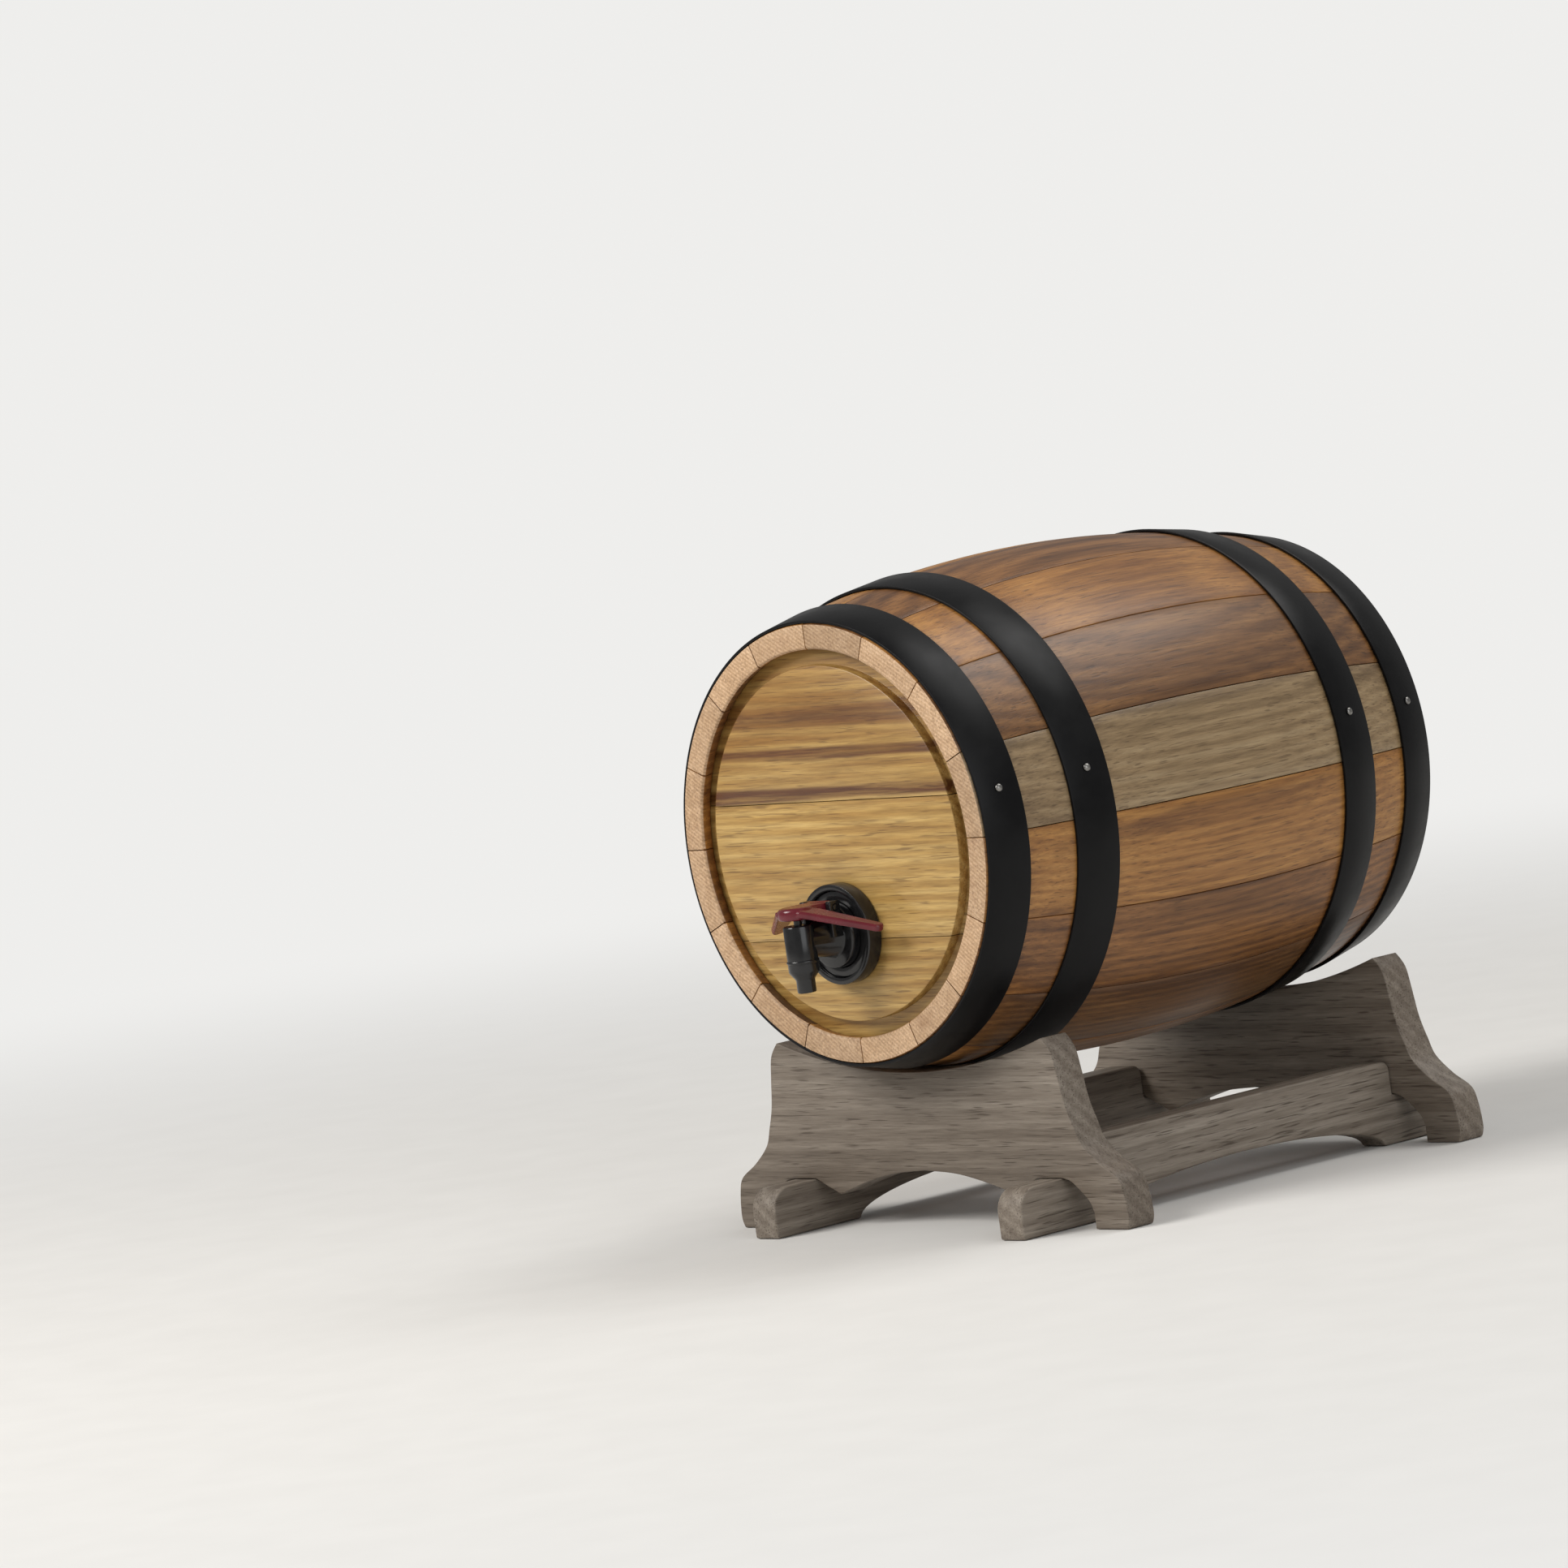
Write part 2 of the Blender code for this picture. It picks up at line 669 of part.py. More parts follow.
HOOPS = (
    ("front_end", END_HOOP_SETBACK, END_HOOP_WIDTH),
    ("front_quarter", QUARTER_HOOP_SETBACK, QUARTER_HOOP_WIDTH),
    ("rear_quarter", CASK_LENGTH - QUARTER_HOOP_SETBACK - QUARTER_HOOP_WIDTH, QUARTER_HOOP_WIDTH),
    ("rear_end", CASK_LENGTH - END_HOOP_SETBACK - END_HOOP_WIDTH, END_HOOP_WIDTH),
)
for hoop_name, hoop_front, hoop_width in HOOPS:
    hoop_band = hoop("hoop_" + hoop_name, hoop_front, hoop_width)
    tack("tack_" + hoop_name, hoop_front + hoop_width / 2, hoop_band)


# Front head: a disc with a raised panel, sawn into three boards, with the hole for the tap.
head_profile = [
    (0, HEAD_BACK),
    (HEAD_FLANGE_RADIUS, HEAD_BACK),
    (HEAD_FLANGE_RADIUS, HEAD_FLANGE_DEPTH),
    (HEAD_PANEL_RADIUS, HEAD_FLANGE_DEPTH),
    (HEAD_PANEL_RADIUS, HEAD_PANEL_SETBACK + PANEL_ROUND),
    (HEAD_PANEL_RADIUS - PANEL_ROUND, HEAD_PANEL_SETBACK),
    (0, HEAD_PANEL_SETBACK),
]
lid_profile = [
    (0, -LID_SETBACK),
    (LID_RADIUS - LID_ROUND, -LID_SETBACK),
    (LID_RADIUS, -LID_SETBACK - LID_ROUND),
    (LID_RADIUS, -LID_SETBACK - LID_THICKNESS),
    (0, -LID_SETBACK - LID_THICKNESS),
]
neck_radius = GLAND_BORE + GLAND_WALL
tap_hole_radius = GLAND_LIP_RADIUS + GLAND_HOLE_CLEARANCE
tap_hole_front = HEAD_PANEL_SETBACK - OVERRUN
tap_hole = disc("tap_hole", tap_hole_radius, tap_hole_front, HEAD_BACK + OVERRUN, TAP_STEPS)
as_cutter(tap_hole)
place(tap_hole, TAP_FRAME, (0, 0, 0), ALONG_Y)

BOARD_LIMITS = (
    ("top", HEAD_UPPER_JOINT + BOARD_GAP / 2, BULGE_RADIUS),
    ("middle", HEAD_LOWER_JOINT + BOARD_GAP / 2, HEAD_UPPER_JOINT - BOARD_GAP / 2),
    ("bottom", -BULGE_RADIUS, HEAD_LOWER_JOINT - BOARD_GAP / 2),
)


def sawn_boards(prefix, profile, frame, material, back, front):
    """The turned disc sawn along two level joints."""
    boards = {}
    for board_name, low, high in BOARD_LIMITS:
        board = as_part(turned(prefix + board_name, profile, TURNED_STEPS), material)
        place(board, frame, (0, 0, 0), ALONG_Y)
        limits = ((-BULGE_RADIUS, back, low), (BULGE_RADIUS, front, high))
        room = as_cutter(block(prefix + board_name + "_limit", *limits))
        place(room, frame)
        boolean(board, room, "INTERSECT")
        boards[board_name] = board
    return boards


head_end = HEAD_BACK + OVERRUN
head_boards = sawn_boards("head_board_", head_profile, CASK_FRAME, "head_oak", -OVERRUN, head_end)
cut(head_boards["middle"], tap_hole)
cut(head_boards["bottom"], tap_hole)

# Rear lid: a loose disc of three boards on two battens, held by a thumbscrew at each side.
lid_back = -LID_SETBACK - LID_THICKNESS
lid_end = lid_back - OVERRUN
lid_boards = sawn_boards("lid_board_", lid_profile, LID_FRAME, "lid_oak", lid_end, OVERRUN)


# The hollow of the cask, for the pieces that lie against its wall.
def hollow(name, clearance, steps):
    profile = [(0, CASK_LENGTH)]
    for step in range(STAVE_SPANS, -1, -1):
        y = CASK_LENGTH * step / STAVE_SPANS
        profile.append((bore_radius(y) * math.cos(math.pi / steps) - clearance, y))
    profile.append((0, 0))
    space = as_cutter(turned(name, profile, steps))
    return place(space, CASK_FRAME, (0, 0, 0), ALONG_Y)


cleat_room = hollow("cleat_room", SEAT_GAP, TURNED_STEPS)
cleat_back = lid_back - SEAT_GAP


def fluted(radius, depth, flutes, steps):
    """A round outline with shallow flutes."""
    line = []
    for step in range(steps):
        angle = 2 * math.pi * step / steps
        reach = radius - depth * (1 - math.cos(flutes * angle)) / 2
        line.append((reach * math.cos(angle), reach * math.sin(angle)))
    return line


for side, side_name in ((-1, "left"), (1, "right")):
    batten = block(
        "lid_batten_" + side_name,
        (-BATTEN_WIDTH / 2, cleat_back - BATTEN_THICKNESS, -BATTEN_LENGTH / 2),
        (BATTEN_WIDTH / 2, cleat_back, BATTEN_LENGTH / 2),
    )
    as_part(batten, "inner_wood")
    place(batten, LID_FRAME, (side * BATTEN_OFFSET, 0, 0))
    soften(batten, BATTEN_BEVEL)

    screw_frame = new_frame("screw_frame_" + side_name, (side * SCREW_OFFSET, 0, 0), LID_FRAME)
    reach = sorted((side * CLEAT_INNER, side * BULGE_RADIUS))
    cleat = block(
        "cleat_" + side_name,
        (reach[0], CASK_LENGTH + cleat_back - CLEAT_LENGTH, -CLEAT_HEIGHT / 2),
        (reach[1], CASK_LENGTH + cleat_back, CLEAT_HEIGHT / 2),
    )
    as_part(cleat, "inner_wood")
    place(cleat, CASK_FRAME)
    boolean(cleat, cleat_room, "INTERSECT")
    insert_top = cleat_back - SEAT_GAP
    insert_bottom = insert_top - INSERT_LENGTH
    hole_radius = INSERT_RADIUS + SEAT_GAP
    insert_hole = disc("insert_hole", hole_radius, insert_bottom - SEAT_GAP, cleat_back + OVERRUN)
    as_cutter(insert_hole)
    place(insert_hole, screw_frame, (0, 0, 0), ALONG_Y)
    cut(cleat, insert_hole)
    bore = SCREW_RADIUS + SEAT_GAP
    insert = ring("insert_" + side_name, INSERT_RADIUS, bore, insert_bottom, insert_top)
    as_part(insert, "brass")
    place(insert, screw_frame, (0, 0, 0), ALONG_Y)

    lid_hole = as_cutter(disc("lid_hole", bore, lid_back - OVERRUN, OVERRUN))
    place(lid_hole, screw_frame, (0, 0, 0), ALONG_Y)
    cut(lid_boards["middle"], lid_hole)
    knob_bottom = SEAT_GAP - LID_SETBACK
    knob_outline = fluted(KNOB_RADIUS, KNOB_FLUTE_DEPTH, KNOB_FLUTES, KNOB_STEPS)
    knob = plate("thumbscrew_" + side_name, knob_outline, KNOB_HEIGHT)
    as_part(knob, "brass")
    knob_middle = knob_bottom + KNOB_HEIGHT / 2
    place(knob, screw_frame, (0, knob_middle, 0), ALONG_Y)
    shank_top = -KNOB_HEIGHT / 2 + SEAT_GAP
    shank = as_cutter(disc("shank_" + side_name, SCREW_RADIUS, shank_top - SCREW_LENGTH, shank_top))
    place(shank, screw_frame, (0, knob_middle, 0), ALONG_Y)
    join(knob, shank)

# Bag: the lower part of the hollow, with soft edges, clear of the staves and behind the gland.
bag_front = HEAD_BACK + SEAT_GAP + GLAND_FLANGE_THICKNESS + SEAT_GAP
bag = block(
    "wine_bag",
    (-BULGE_RADIUS, bag_front, -BULGE_RADIUS),
    (BULGE_RADIUS, CASK_LENGTH - BAG_REAR_CLEARANCE, BAG_TOP),
)
as_part(bag, "bag_film")
place(bag, CASK_FRAME)
boolean(bag, hollow("bag_room", BAG_CLEARANCE, BAG_STEPS), "INTERSECT")
soften(bag, BAG_ROUND, BAG_ROUND_SEGMENTS)

# Gland and collar: the bag's spout, flanged behind the head and held by a collar in front of it.
gland_back = HEAD_BACK + SEAT_GAP + GLAND_FLANGE_THICKNESS
collar_back = HEAD_PANEL_SETBACK - SEAT_GAP
collar_seat = collar_back - COLLAR_THICKNESS
lip_back = collar_seat - SEAT_GAP
lip_front = lip_back - GLAND_LIP_THICKNESS
collar_front = lip_front - COLLAR_RIM
gland_profile = [
    (GLAND_BORE, gland_back),
    (GLAND_FLANGE_RADIUS, gland_back),
    (GLAND_FLANGE_RADIUS, HEAD_BACK + SEAT_GAP),
    (neck_radius, HEAD_BACK + SEAT_GAP),
    (neck_radius, lip_back),
    (GLAND_LIP_RADIUS, lip_back),
    (GLAND_LIP_RADIUS, lip_front),
    (GLAND_BORE, lip_front),
]
gland = as_part(turned("tap_gland", gland_profile, TAP_STEPS, closed=True), "tap_black")
place(gland, TAP_FRAME, (0, 0, 0), ALONG_Y)
collar_bore = neck_radius + SEAT_GAP
collar_recess = GLAND_LIP_RADIUS + SEAT_GAP
collar_profile = [
    (collar_bore, collar_back),
    (COLLAR_RADIUS, collar_back),
    (COLLAR_RADIUS, collar_front),
    (collar_recess, collar_front),
    (collar_recess, collar_seat),
    (collar_bore, collar_seat),
]
collar = as_part(turned("gland_collar", collar_profile, TAP_STEPS, closed=True), "tap_black")
place(collar, TAP_FRAME, (0, 0, 0), ALONG_Y)

# Tap body: barrel in the gland, neck, upright chamber, spout and the two ears for the lever's pin.
barrel_radius = GLAND_BORE - SEAT_GAP
barrel_back = BARREL_LENGTH - BARREL_FACE
groove_radius = barrel_radius - RING_SEAL_DEPTH - SEAT_GAP
groove_front = RING_SEAL_SETBACK - RING_SEAL_WIDTH - 2 * SEAT_GAP
barrel_profile = [
    (0, barrel_back),
    (barrel_radius, barrel_back),
    (barrel_radius, RING_SEAL_SETBACK),
    (groove_radius, RING_SEAL_SETBACK),
    (groove_radius, groove_front),
    (barrel_radius, groove_front),
    (barrel_radius, -BARREL_FACE),
    (NECK_RADIUS, -BARREL_FACE),
    (NECK_END_RADIUS, -CHAMBER_REACH),
    (0, -CHAMBER_REACH),
]
tap_body = as_part(turned("tap_body", barrel_profile, TAP_STEPS), "tap_black")
place(tap_body, TAP_FRAME, (0, 0, 0), ALONG_Y)
ring_top = -RING_DROP + RING_HEIGHT
chamber_profile = [
    (0, CHAMBER_TOP),
    (CHAMBER_RADIUS - CHAMBER_ROUND, CHAMBER_TOP),
    (CHAMBER_RADIUS, CHAMBER_TOP - CHAMBER_ROUND),
    (CHAMBER_RADIUS, ring_top),
    (RING_RADIUS, ring_top),
    (RING_RADIUS, -RING_DROP),
    (CHAMBER_RADIUS, -RING_DROP),
    (CHAMBER_RADIUS, -CHAMBER_BOTTOM),
    (SPOUT_RADIUS, -SPOUT_SHOULDER),
    (SPOUT_RADIUS, -SPOUT_DROP),
    (0, -SPOUT_DROP),
]
CHAMBER_AXIS = (0, -CHAMBER_REACH, 0)
chamber = as_cutter(turned("tap_chamber", chamber_profile, TAP_STEPS))
place(chamber, TAP_FRAME, CHAMBER_AXIS)
join(tap_body, chamber)
ear_back = -PIVOT_REACH + EAR_HALF_DEPTH
ear_front = -PIVOT_REACH - EAR_HALF_DEPTH
for side in (-1, 1):
    span = sorted((side * EAR_INNER, side * (EAR_INNER + EAR_THICKNESS)))
    ear_top = PIVOT_HEIGHT + EAR_HALF_DEPTH
    ear = block("ear", (span[0], ear_front, 0), (span[1], ear_back, ear_top))
    as_cutter(ear)
    place(ear, TAP_FRAME)
    join(tap_body, ear)

web_bottom = -VALVE_BORE_DROP - WEB_THICKNESS
recess_floor = CHAMBER_TOP - BONNET_FLANGE_THICKNESS - SEAT_GAP
pin_half = EAR_INNER + EAR_THICKNESS + SEAT_GAP
valve_profile = [
    (0, CHAMBER_TOP + OVERRUN),
    (BONNET_FLANGE_RADIUS + SEAT_GAP, CHAMBER_TOP + OVERRUN),
    (BONNET_FLANGE_RADIUS + SEAT_GAP, recess_floor),
    (VALVE_BORE, recess_floor),
    (VALVE_BORE, -VALVE_BORE_DROP),
    (WEB_HOLE, -VALVE_BORE_DROP),
    (WEB_HOLE, web_bottom),
    (OUTLET_BORE, web_bottom),
    (OUTLET_BORE, -OUTLET_DROP),
    (SPOUT_BORE, -OUTLET_DROP),
    (SPOUT_BORE, -SPOUT_DROP - OVERRUN),
    (0, -SPOUT_DROP - OVERRUN),
]
valve_room = as_cutter(turned("valve_room", valve_profile, SMALL_STEPS))
place(valve_room, TAP_FRAME, CHAMBER_AXIS)
inlet_bore = as_cutter(disc("inlet_bore", INLET_RADIUS, -CHAMBER_REACH, barrel_back + OVERRUN))
place(inlet_bore, TAP_FRAME, (0, 0, 0), ALONG_Y)
pin_hole = as_cutter(disc("pin_hole", PIN_RADIUS + SEAT_GAP, -pin_half - OVERRUN, pin_half + OVERRUN))
place(pin_hole, TAP_FRAME, (0, -PIVOT_REACH, PIVOT_HEIGHT), (0, math.radians(90), 0))
for tap_bore in (valve_room, inlet_bore, pin_hole):
    split_faces(tap_body)
    cut(tap_body, tap_bore)

seal_front = groove_front + SEAT_GAP
seal_bore = groove_radius + SEAT_GAP
seal_back = seal_front + RING_SEAL_WIDTH
barrel_seal = ring("barrel_seal", barrel_radius, seal_bore, seal_front, seal_back, TAP_STEPS)
as_part(barrel_seal, "seal_rubber")
place(barrel_seal, TAP_FRAME, (0, 0, 0), ALONG_Y)

# Bonnet, stem and valve seal, in the upright chamber.
stem_bore = STEM_RADIUS + SEAT_GAP
flange_bottom = recess_floor + SEAT_GAP
plug_radius = VALVE_BORE - SEAT_GAP
bonnet_profile = [
    (stem_bore, flange_bottom + BONNET_FLANGE_THICKNESS),
    (BONNET_FLANGE_RADIUS, flange_bottom + BONNET_FLANGE_THICKNESS),
    (BONNET_FLANGE_RADIUS, flange_bottom),
    (plug_radius, flange_bottom),
    (plug_radius, flange_bottom - BONNET_PLUG_LENGTH),
    (stem_bore, flange_bottom - BONNET_PLUG_LENGTH),
]
bonnet = as_part(turned("tap_bonnet", bonnet_profile, SMALL_STEPS, closed=True), "tap_black")
place(bonnet, TAP_FRAME, CHAMBER_AXIS)
lever_bottom = CHAMBER_TOP + LEVER_LIFT
seal_top = web_bottom - SEAT_GAP
disc_top = seal_top - VALVE_SEAL_THICKNESS - SEAT_GAP
stem_profile = [
    (0, lever_bottom - SEAT_GAP),
    (STEM_RADIUS, lever_bottom - SEAT_GAP),
    (STEM_RADIUS, disc_top),
    (STEM_DISC_RADIUS, disc_top),
    (STEM_DISC_RADIUS, disc_top - STEM_DISC_THICKNESS),
    (0, disc_top - STEM_DISC_THICKNESS),
]
stem = as_part(turned("tap_stem", stem_profile, SMALL_STEPS), "tap_black")
place(stem, TAP_FRAME, CHAMBER_AXIS)
seal_bottom = seal_top - VALVE_SEAL_THICKNESS
valve_seal = ring("valve_seal", STEM_DISC_RADIUS, stem_bore, seal_bottom, seal_top)
as_part(valve_seal, "seal_rubber")
place(valve_seal, TAP_FRAME, CHAMBER_AXIS)

# Lever: a cap over the stem, a knuckle on the pin and two wings that fall to the sides.
LEVER_FRAME = new_frame("lever_frame", (0, -PIVOT_REACH, PIVOT_HEIGHT), TAP_FRAME)
cap_y = PIVOT_REACH - CHAMBER_REACH
cap_bottom = lever_bottom - PIVOT_HEIGHT
knuckle_half = EAR_INNER - SEAT_GAP
knuckle = disc("tap_lever", KNUCKLE_RADIUS, -knuckle_half, knuckle_half)
lever = place(as_part(knuckle, "lever_burgundy"), LEVER_FRAME, (0, 0, 0), (0, math.radians(90), 0))
cap_top = cap_bottom + LEVER_THICKNESS
tongue = block("lever_tongue", (-knuckle_half, cap_y, cap_bottom), (knuckle_half, 0, cap_top))
as_cutter(tongue)
place(tongue, LEVER_FRAME)
cap_profile = [
    (0, cap_top),
    (LEVER_CAP_RADIUS - LEVER_EDGE, cap_top),
    (LEVER_CAP_RADIUS, cap_top - LEVER_EDGE),
    (LEVER_CAP_RADIUS, cap_bottom + LEVER_EDGE),
    (LEVER_CAP_RADIUS - LEVER_EDGE, cap_bottom),
    (0, cap_bottom),
]
cap = as_cutter(turned("lever_cap", cap_profile, TAP_STEPS))
place(cap, LEVER_FRAME, (0, cap_y, 0))
join(lever, tongue, cap)
wing_run = WING_REACH - WING_ROOT
for side in (-1, 1):
    tip_radius = WING_TIP_WIDTH / 2
    tip = (wing_run - tip_radius, WING_SWEEP)
    outline = [(0, -WING_ROOT_WIDTH / 2)]
    outline += corner(tip, tip_radius, -70, 70, ROUND_STEPS + 1)
    outline.append((0, WING_ROOT_WIDTH / 2))
    wing = as_cutter(plate("lever_wing", outline, WING_THICKNESS))
    middle_z = cap_bottom + LEVER_THICKNESS / 2
    turn = (0, math.radians(WING_FALL), 0)
    if side < 0:
        turn = (math.radians(180), math.radians(WING_FALL), math.radians(180))
    place(wing, LEVER_FRAME, (side * WING_ROOT, cap_y, middle_z), turn)
    join(lever, wing)
pin_bore = as_cutter(disc("knuckle_bore", PIN_RADIUS + SEAT_GAP, -pin_half, pin_half))
place(pin_bore, LEVER_FRAME, (0, 0, 0), (0, math.radians(90), 0))
cut(lever, pin_bore)
lever_pin = as_part(disc("lever_pin", PIN_RADIUS, -pin_half, pin_half), "pin_plastic")
place(lever_pin, TAP_FRAME, (0, -PIVOT_REACH, PIVOT_HEIGHT), (0, math.radians(90), 0))

bpy.context.view_layer.update()
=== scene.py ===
"""Oak wine cask on a cradle stand: the looks of each piece, in the order in which it is put together."""

import math

import bpy
from mathutils import Matrix, Vector


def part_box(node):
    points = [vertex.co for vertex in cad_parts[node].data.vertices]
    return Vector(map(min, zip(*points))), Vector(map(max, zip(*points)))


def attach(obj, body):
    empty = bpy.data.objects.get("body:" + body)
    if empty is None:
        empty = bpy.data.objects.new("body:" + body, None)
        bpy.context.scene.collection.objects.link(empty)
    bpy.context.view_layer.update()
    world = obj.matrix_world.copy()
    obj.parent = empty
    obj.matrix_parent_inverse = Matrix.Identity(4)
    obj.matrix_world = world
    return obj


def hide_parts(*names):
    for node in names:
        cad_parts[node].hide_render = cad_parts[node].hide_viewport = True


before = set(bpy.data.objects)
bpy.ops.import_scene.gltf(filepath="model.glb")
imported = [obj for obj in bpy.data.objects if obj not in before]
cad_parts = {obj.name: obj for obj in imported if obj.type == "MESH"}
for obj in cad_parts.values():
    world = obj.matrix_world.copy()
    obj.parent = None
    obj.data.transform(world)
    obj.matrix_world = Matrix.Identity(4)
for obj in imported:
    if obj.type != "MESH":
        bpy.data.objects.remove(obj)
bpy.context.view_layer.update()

# Cradle boards. Each is one 14 mm board of pale greyish wood, sawn to shape: a shallow seat for the
# cask, a waist, two feet, a notch over each rail and a low arch. Their edges are eased by hand.
front_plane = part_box("stave_01")[0].y
board_thickness = 0.014
board_half_width = 0.115
seat_height = 0.0635
seat_radius = 0.248
seat_half = 0.0785
rail_offset = 0.073
rail_thickness = 0.014
rail_toe_height = 0.020
foot_inner = 0.0956
notch_low = 0.0065
cusp = (0.0517, 0.0138)
arch_height = 0.0235
side_shares = ((0.722, 0.925), (0.739, 0.808), (0.757, 0.656), (0.785, 0.538), (0.814, 0.441))
side_shares += ((0.887, 0.346), (0.966, 0.272), (0.990, 0.190), (1.000, 0.060), (0.988, 0.000))
notch_shares = ((0.30, 0.90), (0.62, 0.62), (0.90, 0.30))
arch_shares = ((0.70, 0.48), (0.36, 0.86))


def only(piece):
    """Selects this piece and nothing else."""
    bpy.ops.object.select_all(action="DESELECT")
    piece.select_set(True)
    bpy.context.view_layer.objects.active = piece


def draw(name, points, closed=True):
    """A line of edges, drawn by extruding one point from each place to the next."""
    bpy.ops.object.select_all(action="DESELECT")
    bpy.ops.mesh.primitive_plane_add(size=0.01, location=points[0])
    piece = bpy.context.object
    piece.name = name
    piece.data.name = name
    bpy.ops.object.transform_apply(location=True, rotation=True, scale=True)
    bpy.ops.object.mode_set(mode="EDIT")
    bpy.ops.mesh.select_all(action="SELECT")
    bpy.ops.mesh.merge(type="CENTER")
    stops = list(points) + [points[0]] if closed else list(points)
    for here, there in zip(stops, stops[1:]):
        step = Vector(there) - Vector(here)
        bpy.ops.mesh.extrude_region_move(TRANSFORM_OT_translate={"value": step})
    bpy.ops.mesh.select_all(action="SELECT")
    bpy.ops.mesh.remove_doubles(threshold=0.000002)
    bpy.ops.object.mode_set(mode="OBJECT")
    return piece


def slab(piece, push):
    """The drawn outline filled and pushed out to a board."""
    only(piece)
    bpy.ops.object.mode_set(mode="EDIT")
    bpy.ops.mesh.select_all(action="SELECT")
    bpy.ops.mesh.edge_face_add()
    bpy.ops.mesh.extrude_region_move(TRANSFORM_OT_translate={"value": push})
    bpy.ops.mesh.select_all(action="SELECT")
    bpy.ops.mesh.normals_make_consistent(inside=False)
    bpy.ops.object.mode_set(mode="OBJECT")
    return piece


def ease(piece, width, segments=2, angle=40):
    """Rounds the sharp edges by a small radius."""
    only(piece)
    bpy.ops.object.modifier_add(type="BEVEL")
    rounding = piece.modifiers[-1]
    rounding.width = width
    rounding.segments = segments
    rounding.limit_method = "ANGLE"
    rounding.angle_limit = math.radians(angle)
    bpy.ops.object.modifier_apply(modifier=rounding.name)
    return piece


def smooth_through(points, steps):
    """Closely spaced points on a smooth line through the given ones."""
    line = []
    last = len(points) - 1
    for i in range(last):
        row = (points[max(i - 1, 0)], points[i], points[i + 1], points[min(i + 2, last)])
        for step in range(steps):
            t = step / steps
            spot = []
            for a, b, c, d in zip(*row):
                bend = (2 * a - 5 * b + 4 * c - d) * t * t + (3 * b - a - 3 * c + d) * t * t * t
                spot.append(0.5 * (2 * b + (c - a) * t + bend))
            line.append(tuple(spot))
    line.append(points[-1])
    return line


def board_number(piece, number):
    """A number on each piece of wood, so that its grain is its own."""
    mark = piece.data.attributes.new("board", "FLOAT", "POINT")
    mark.data.foreach_set("value", [float(number)] * len(piece.data.vertices))


def dress(piece, material, body, slot, *nodes):
    """Shades the finished piece, puts it on its body and lets it stand for its CAD nodes."""
    only(piece)
    bpy.ops.object.shade_smooth_by_angle(angle=math.radians(35))
    piece.data.materials.clear()
    for entry in material if isinstance(material, tuple) else (material,):
        piece.data.materials.append(entry)
    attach(piece, body)
    if nodes:
        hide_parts(*nodes)


def node(material, kind, **inputs):
    """A shader node with its values set."""
    made = material.node_tree.nodes.new("ShaderNode" + kind)
    for name, value in inputs.items():
        key = name.replace("_", " ")
        if key in made.inputs:
            made.inputs[key].default_value = value
        else:
            setattr(made, name, value)
    return made


def ramp(material, stops):
    """A colour ramp with its stops, as (place, colour)."""
    made = material.node_tree.nodes.new("ShaderNodeValToRGB")
    band = made.color_ramp
    while len(band.elements) < len(stops):
        band.elements.new(0.5)
    for element, (place, colour) in zip(band.elements, stops):
        element.position = place
        element.color = (*colour, 1)
    return made


